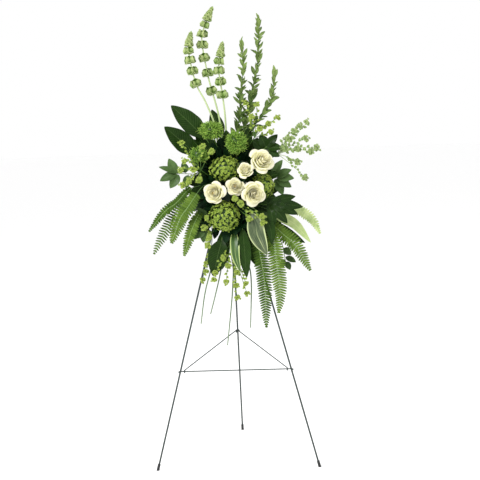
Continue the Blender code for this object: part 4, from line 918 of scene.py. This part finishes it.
def lobed_leaf(name, hole, route, heart, lobes):
    """A hand-shaped leaf: glossy lobes that meet in one heart, each arched with its own midrib."""
    heart = mm(heart)
    parts = [stalk(stem_path(hole, [*mm(route), heart], 24), 0.0020)]
    for k, (tip, width) in enumerate(lobes):
        tip = mm(tip)
        back = heart - unit(tip - heart) * 0.006
        bow = (back + tip) / 2 + np.array([0, -0.010, 0.006])
        path = curve([back, bow, tip], 28)
        grid = blade(path, lance(mm(width), 0.55, 28), (0, -1, 0.2), 0.22, 0.10, 4.0)
        parts += [shells(grid, "broad", 0.05 * k, 0.0010), midrib(path, 0.0006)]
    add_piece(name + "_lobes", parts, name, sharp=70)


def tails(name, hole, hub, routes):
    """Thin stems that leave the foam as one bunch and hang, each along its own curve."""
    hub = mm(hub)
    parts = [stalk(stem_path(hole, [hub], 14), 0.0026), globe(hub, [0.0038] * 3, "grass")]
    for k, route in enumerate(routes):
        parts.append(stalk(curve([hub, *mm(route)], 34), 0.0026, 0.0020, "grass", 7, tint=0.2 * k))
    add_piece(name + "_stems", parts, name, sharp=60)


BACKING = (  # routes and widths in mm of the broad leaves behind the blooms
    ((-20, -95, 845), (-30, -118, 765), (-34, -112, 700), 50),
    ((30, -90, 845), (68, -108, 775), (88, -102, 705), 50),
    ((45, -85, 860), (100, -106, 822), (146, -100, 750), 50),
    ((-50, -85, 875), (-98, -100, 852), (-128, -98, 806), 48),
    ((-52, -68, 930), (-106, -80, 932), (-152, -84, 904), 52),
    ((-52, -64, 985), (-106, -72, 1004), (-146, -78, 1002), 52),
    ((-52, -60, 1030), (-98, -66, 1060), (-132, -72, 1078), 50),
    ((-30, -58, 1066), (-68, -58, 1108), (-100, -62, 1142), 52),
    ((0, -56, 1066), (0, -66, 1125), (-6, -68, 1180), 50),
    ((30, -56, 1066), (58, -66, 1130), (74, -72, 1185), 52),
    ((50, -62, 1040), (98, -72, 1084), (142, -78, 1122), 56),
    ((44, -60, 1056), (80, -68, 1108), (104, -74, 1150), 44),
    ((52, -64, 1000), (112, -76, 1022), (166, -82, 1040), 54),
    ((52, -66, 950), (112, -80, 964), (170, -86, 968), 54),
    ((52, -78, 880), (160, -100, 838), (256, -98, 782), 40),
    ((50, -85, 930), (108, -100, 946), (162, -100, 942), 56),
    ((-52, -75, 960), (-100, -86, 970), (-142, -90, 952), 52),
    ((-34, -50, 1080), (-76, -46, 1128), (-112, -46, 1168), 62),
    ((-50, -50, 1040), (-98, -44, 1082), (-146, -42, 1116), 60),
    ((52, -76, 900), (112, -96, 892), (176, -100, 852), 54),
    ((52, -70, 1010), (112, -86, 1014), (176, -94, 1022), 40),
    ((-10, -62, 1066), (14, -82, 1086), (52, -90, 1112), 40),
    ((-50, -46, 1052), (-92, -40, 1106), (-126, -38, 1152), 50),
    ((52, -88, 940), (110, -108, 934), (156, -112, 912), 36))


def backing_leaves():
    """Dark short leaves that stand out of the foam between the stems, coloured near-black as painted
    shade there.
    """
    draw = seeded("backing")
    base, tip, width = [], [], []
    for face, count in (("front", 84), ("left", 22), ("right", 22), ("top", 12), ("bottom", 10)):
        for _ in range(count):
            if face == "front":
                a, b = draw.uniform(-0.052, 0.052), draw.uniform(-0.110, 0.110)
            elif face in ("left", "right"):
                a, b = draw.uniform(-0.100, 0.105), draw.uniform(0.030, FOAM_BACK + FOAM_DEPTH)
            else:
                a, b = draw.uniform(-0.050, 0.050), draw.uniform(0.040, FOAM_BACK + FOAM_DEPTH)
            entry, inward = socket(face, a, b)
            away = entry - holder(0, 0, 0.03)
            away[1] *= 0.25
            way = unit(-inward * 0.8 + unit(away) * 1.1 + draw.normal(0, 0.28, 3))
            long = draw.uniform(0.044, 0.074)
            base.append(entry)
            tip.append(entry + way * long)
            width.append(long * draw.uniform(0.42, 0.60))
    base, tip = np.array(base), np.array(tip)
    face = np.array([0, -1, 0.35]) + draw.normal(0, 0.25, base.shape)
    run = tip - base
    parts = [pods(base, base + run * 0.16, face, 0.0016, 0.0016, "stem", ROD, 4),
             leaves(base + run * 0.12, tip, face, np.array(width), "shade", bend=0.08, across=5,
                    rows=9, widest=0.45, blunt=0.7, wave=0.06, tint=draw.random(len(base)))]
    for *route, width in BACKING:
        path = curve(mm(route), 26)
        grid = blade(path, lance(mm(width), 0.5, 26), (0.1, -1, 0.2), 0.2, 0.06, 2.0, 9)
        parts += [shells(grid, "broad", draw.random(), BLADE_WALL), midrib(path, -0.0004)]
    add_piece("backing_leaves", parts, None, sharp=70)


# The plants: place in mm, hole in the foam, route of the stem and size in mm

rose("rose_1", (114, -150, 1071), (0.35, -0.85, 0.35), 40, ("right", 70, 78), False)
rose("rose_2", (60, -180, 1043), (-0.1, -0.85, 0.5), 27, ("front", 26, 62), False)
rose("rose_3", (23, -168, 989), (0.0, -1.0, 0.2), 30, ("front", 8, 20), True)
rose("rose_4", (-47, -175, 971), (-0.25, -0.95, 0.05), 36, ("front", -26, 12), True)
rose("rose_5", (86, -186, 965), (0.2, -0.95, -0.05), 40, ("front", 28, 0), False)

lime_head("lime_head_1", (-11, -130, 1048), (52, 36, 44), ("front", -8, 76))
lime_head("lime_head_2", (-16, -158, 888), (52, 40, 52), ("front", -10, -70), 270)
lime_head("lime_head_3", (117, -105, 984), (38, 32, 45), ("right", 20, 62), 180)

fuzzy_head("fuzzy_head_1", (-52, -128, 1180), (45, 36, 34), ("top", -28, 80))
fuzzy_head("fuzzy_head_2", (31, -138, 1137), (40, 36, 43), ("top", 12, 82))
fuzzy_head("fuzzy_head_3", (-100, -128, 1098), (35, 33, 32), ("left", 84, 70), 560)

bell_spike("bells_left", ("top", -34, 58), [(-43, -50, 1190), (-72, -52, 1275), (-105, -55, 1346),
    (-125, -50, 1454), (-115, -45, 1516)], 6)
bell_spike("bells_middle", ("top", -15, 42), [(-29, -30, 1219), (-49, -25, 1308), (-64, -20, 1372),
    (-81, -10, 1493), (-64, -10, 1554), (-41, -10, 1601)], 8)
bell_spike("bells_right", ("top", -6, 64), [(-6, -70, 1216), (-13, -75, 1301), (-22, -80, 1383),
    (-13, -85, 1444), (-6, -85, 1474)], 6)

leafy_spike("leafy_spike_tall", ("top", 30, 50), [(66, -45, 1213), (86, -40, 1290),
    (110, -35, 1401), (118, -30, 1517), (116, -30, 1568)], 81, 71.5)
leafy_spike("leafy_spike_left", ("top", 14, 52), [(40, -50, 1212), (48, -62, 1280), (61, -70, 1388),
    (58, -70, 1479)], 61, 78)
leafy_spike("leafy_spike_right", ("top", 34, 72), [(78, -68, 1173), (131, -80, 1234),
    (157, -85, 1291), (172, -85, 1372)], 47, 84.5)

long_leaf("broad_leaf_upper", "broad", ("top", -47, 46), [(-66, -56, 1135), (-100, -62, 1175),
    (-133, -64, 1211), (-193, -60, 1270)], 72, bare=0.36, face=(0.25, -1, 0.3), rib=0.0014)
long_leaf("broad_leaf_lower", "broad", ("left", 98, 40), [(-85, -36, 1078), (-122, -36, 1103),
    (-161, -40, 1143), (-221, -45, 1198)], 70, bare=0.34, face=(0.2, -1, 0.25), rib=0.0014)
long_leaf("broad_leaf_rear", "broad", ("top", -28, 36), [(-28, -12, 1140), (-36, -4, 1180),
    (-56, 2, 1252)], 52, bare=0.42)

fern("fern_left_1", "fern_deep", ("left", 30, 66), [(-100, -105, 992), (-140, -114, 979),
    (-183, -120, 936), (-225, -122, 907), (-282, -115, 840)], 34)
fern("fern_left_2", "fern_deep", ("left", -4, 40), [(-110, -75, 958), (-154, -88, 944),
    (-200, -95, 882), (-250, -95, 799), (-271, -92, 758)], 46, pitch=0.0092, overlap=0.8,
    slant=0.02)
fern("fern_left_3", "fern", ("front", -34, 40), [(-66, -122, 1000), (-95, -140, 985),
    (-139, -150, 925), (-169, -152, 885), (-202, -148, 802)], 58, bare=0.36)
fern("fern_left_4", "fern", ("left", -36, 58), [(-91, -100, 912), (-113, -125, 883),
    (-136, -135, 833), (-162, -132, 754)], 42)
fern("fern_right_1", "pale", ("right", -14, 40), [(110, -68, 948), (165, -80, 940), (191, -85, 922),
    (237, -88, 897), (282, -88, 862), (309, -86, 812)], 40, bare=0.42)
fern("fern_right_2", "fern", ("right", -62, 66), [(85, -100, 885), (110, -125, 880),
    (144, -133, 854), (180, -134, 819), (224, -132, 776), (270, -126, 690)], 54, pitch=0.0088,
    overlap=1.1)
fern("fern_low_1", "fern_deep", ("right", -92, 52), [(80, -110, 850), (92, -125, 790),
    (106, -130, 702), (112, -128, 643), (113, -120, 493)], 55, bare=0.22, pitch=0.0088,
    overlap=1.04, slant=0.1)
fern("fern_low_2", "fern", ("front", 40, -66), [(82, -140, 900), (120, -156, 878), (145, -160, 819),
    (156, -158, 718), (165, -154, 620), (157, -150, 549)], 60, pitch=0.0088, overlap=1.04,
    slant=0.1)

long_leaf("pale_blade", "pale", ("right", -40, 54), [(95, -92, 915), (124, -104, 906),
    (170, -108, 879), (223, -108, 848), (275, -100, 783)], 36, wave=0.1, waves=7.0)
long_leaf("striped_blade_right", "variegated", ("front", 16, -50), [(50, -150, 895),
    (79, -178, 881), (95, -182, 819), (124, -170, 753)], 58, bare=0.34)
long_leaf("striped_blade_middle", "striped", ("bottom", 12, 80), [(13, -128, 826), (14, -150, 790),
    (17, -158, 745), (31, -152, 694)], 32, bare=0.1, wave=0.02)
long_leaf("dark_blade_middle", "broad", ("front", 22, -84), [(40, -138, 862), (46, -150, 786),
    (51, -142, 673)], 45, bare=0.26, tint=0.8)
long_leaf("dark_blade_left", "broad", ("bottom", -28, 66), [(-30, -118, 810), (-46, -128, 752),
    (-65, -124, 678)], 68, bare=0.28)
long_leaf("dark_blade_right", "broad", ("front", 38, -40), [(90, -142, 906), (118, -164, 884),
    (138, -172, 842), (142, -168, 786)], 36, bare=0.36)

lobed_leaf("lobed_leaf", ("right", -18, 76), [(100, -112, 926)], (134, -146, 922),
    [((250, -158, 912), 34), ((232, -164, 888), 32), ((196, -168, 860), 32), ((152, -170, 852), 30),
    ((226, -146, 948), 30)])

leaf_spray("leaf_spray_left", "salal", ("left", 60, 52), [(-110, -75, 1030), (-180, -80, 1036)],
    [((-176, -80, 1030), (-240, -82, 1012), 32), ((-178, -84, 1044), (-206, -88, 1088), 34),
    ((-166, -78, 1040), (-242, -80, 1060), 22), ((-172, -86, 1016), (-205, -90, 986), 34),
    ((-150, -84, 1040), (-158, -88, 1076), 28), ((-140, -84, 1020), (-150, -90, 984), 30)])
leaf_spray("leaf_spray_upper_right", "broad", ("right", 94, 44), [(92, -62, 1090),
    (130, -80, 1115)], [((108, -80, 1112), (86, -86, 1142), 34),
    ((126, -80, 1120), (112, -86, 1160), 36), ((138, -80, 1122), (172, -86, 1158), 30),
    ((136, -80, 1108), (186, -86, 1112), 32), ((130, -82, 1100), (176, -90, 1082), 30)])
leaf_spray("leaf_spray_right", "salal", ("right", 40, 60), [(110, -70, 1020), (160, -82, 1010)],
    [((162, -84, 1024), (216, -92, 1036), 32), ((168, -84, 1008), (224, -92, 1006), 34),
    ((160, -84, 996), (214, -92, 976), 32), ((150, -84, 992), (184, -92, 950), 34),
    ((150, -82, 1026), (186, -86, 1070), 30)])
leaf_spray("leaf_spray_low_right", "salal", ("right", -76, 36), [(120, -76, 860), (172, -92, 790),
    (186, -94, 720)], [((176, -94, 765), (206, -100, 742), 26),
    ((184, -94, 735), (222, -100, 716), 22), ((184, -94, 728), (168, -100, 696), 22),
    ((186, -94, 722), (202, -100, 690), 22), ((166, -90, 798), (216, -96, 800), 24),
    ((150, -84, 820), (198, -90, 838), 24)])
leaf_spray("leaf_spray_low_left", "salal", ("left", -72, 60), [(-78, -104, 872), (-98, -112, 850)],
    [((-98, -110, 862), (-130, -116, 812), 46), ((-86, -106, 858), (-96, -112, 796), 36),
    ((-100, -110, 876), (-146, -112, 866), 30), ((-82, -104, 880), (-112, -116, 916), 28)])

star_spray("star_spray_upper_left", "filler", ("left", 50, 78), (-92, -132, 1046),
    [(-155, -124, 1141), (-147, -150, 1080), (-160, -150, 1050), (-116, -158, 1050),
    (-134, -154, 1010), (-98, -165, 1014), (-157, -146, 998), (-83, -172, 1128), (-50, -172, 1112)])
star_spray("star_spray_top", "filler", ("top", 46, 58), (92, -92, 1150), [(66, -94, 1268),
    (104, -96, 1262), (142, -100, 1196), (150, -104, 1168), (112, -112, 1180), (176, -98, 1216),
    (86, -104, 1222)])
star_spray("star_spray_right", "pale_filler", ("right", 64, 50), (170, -70, 1090),
    [(274, -78, 1196), (250, -82, 1184), (230, -86, 1170), (212, -90, 1140), (198, -90, 1110),
    (240, -88, 1108), (270, -80, 1140), (304, -80, 1108), (284, -86, 1096), (238, -90, 1062),
    (262, -88, 1008)], 14.5)
star_spray("star_spray_centre", "filler", ("front", 0, -20), (30, -150, 930), [(22, -186, 950),
    (42, -192, 932), (68, -196, 880), (112, -196, 888), (114, -190, 866)])
star_spray("star_spray_low_left", "filler", ("bottom", -42, 50), (-64, -108, 830),
    [(-76, -150, 884), (-88, -146, 850), (-72, -150, 818), (-80, -138, 788), (-88, -112, 722),
    (-90, -112, 694), (-104, -106, 664)])
star_spray("star_spray_low", "filler", ("bottom", -10, 66), (-4, -114, 786), [(-28, -144, 742),
    (-12, -140, 716), (18, -138, 692), (-56, -136, 692), (-62, -134, 668), (-20, -134, 660),
    (14, -132, 646), (48, -132, 650), (50, -130, 616), (16, -130, 602)])

tails("hanging_tails", ("bottom", 4, 46), (0, -90, 815), [[(-49, -96, 763), (-77, -100, 688),
    (-99, -102, 611), (-116, -100, 508)], [(-25, -98, 760), (-43, -100, 679), (-64, -102, 601),
    (-81, -100, 542)], [(6, -104, 738), (1, -112, 646), (-8, -116, 561), (-25, -116, 432)],
    [(40, -100, 760), (61, -102, 700), (65, -102, 641), (62, -102, 577), (57, -100, 489)]])
backing_leaves()

# Floor, light and camera

FLOOR_REACH, FLOOR_DROP = 40, 0.0005
BLOOMS = (0, -0.1, 0.95)
LIGHTS = (  # name, place, target, size, power
    ("key", (-1.6, -2.6, 2.9), BLOOMS, 1.0, 95),
    ("fill", (2.4, -2.0, 1.5), BLOOMS, 1.8, 12),
    ("rim", (0.6, 2.2, 2.6), (0, 0.0, 1.0), 1.4, 20))
CAMERA_PLACE, CAMERA_TARGET = (0.160, -3.538, 1.201), (0.0271, 0.0, 0.7874)
CAMERA_ROLL, CAMERA_LENS, CAMERA_SENSOR = 0.0353, 74.96, 36.0


def make_floor():
    mesh = bpy.data.meshes.new("floor")
    corners = ((-1, -1), (1, -1), (1, 1), (-1, 1))
    mesh.from_pydata([(x * FLOOR_REACH, y * FLOOR_REACH, -FLOOR_DROP) for x, y in corners], [],
                     [(0, 1, 2, 3)])
    floor = link("floor", mesh)
    paint = bpy.data.materials.new("pale floor")
    paint.use_nodes = True
    shader = paint.node_tree.nodes["Principled BSDF"].inputs
    feed(shader["Base Color"], (0.99, 0.99, 0.99))
    feed(shader["Roughness"], 0.9)
    mesh.materials.append(paint)


def make_light(name, place, target, size, power):
    data = bpy.data.lights.new(name, "AREA")
    data.shape = "DISK"
    data.size = size
    data.energy = power
    light = link(name, data)
    light.location = place
    light.rotation_euler = (Vector(target) - Vector(place)).to_track_quat("-Z", "Y").to_euler()


def make_camera():
    """The photograph's viewpoint: slightly right of the middle, above the blooms, rolled 2 degrees."""
    place = Vector(CAMERA_PLACE) + Vector(SHIFT)
    ahead = (Vector(CAMERA_TARGET) + Vector(SHIFT) - place).normalized()
    right = ahead.cross(Vector((0, 0, 1))).normalized()
    up = right.cross(ahead)
    x = right * math.cos(CAMERA_ROLL) - up * math.sin(CAMERA_ROLL)
    y = right * math.sin(CAMERA_ROLL) + up * math.cos(CAMERA_ROLL)
    data = bpy.data.cameras.new("camera")
    data.lens = CAMERA_LENS
    data.sensor_width = CAMERA_SENSOR
    camera = link("camera", data)
    camera.matrix_world = Matrix.Translation(place) @ Matrix((x, y, -ahead)).transposed().to_4x4()
    bpy.context.scene.camera = camera


make_floor()
for light in LIGHTS:
    make_light(*light)
make_camera()
world = bpy.data.worlds.new("studio")
bpy.context.scene.world = world
world.use_nodes = True
feed(world.node_tree.nodes["Background"].inputs["Color"], (1.0, 1.0, 1.0))
feed(world.node_tree.nodes["Background"].inputs["Strength"], 1.0)
bpy.context.scene.view_settings.view_transform = "Standard"
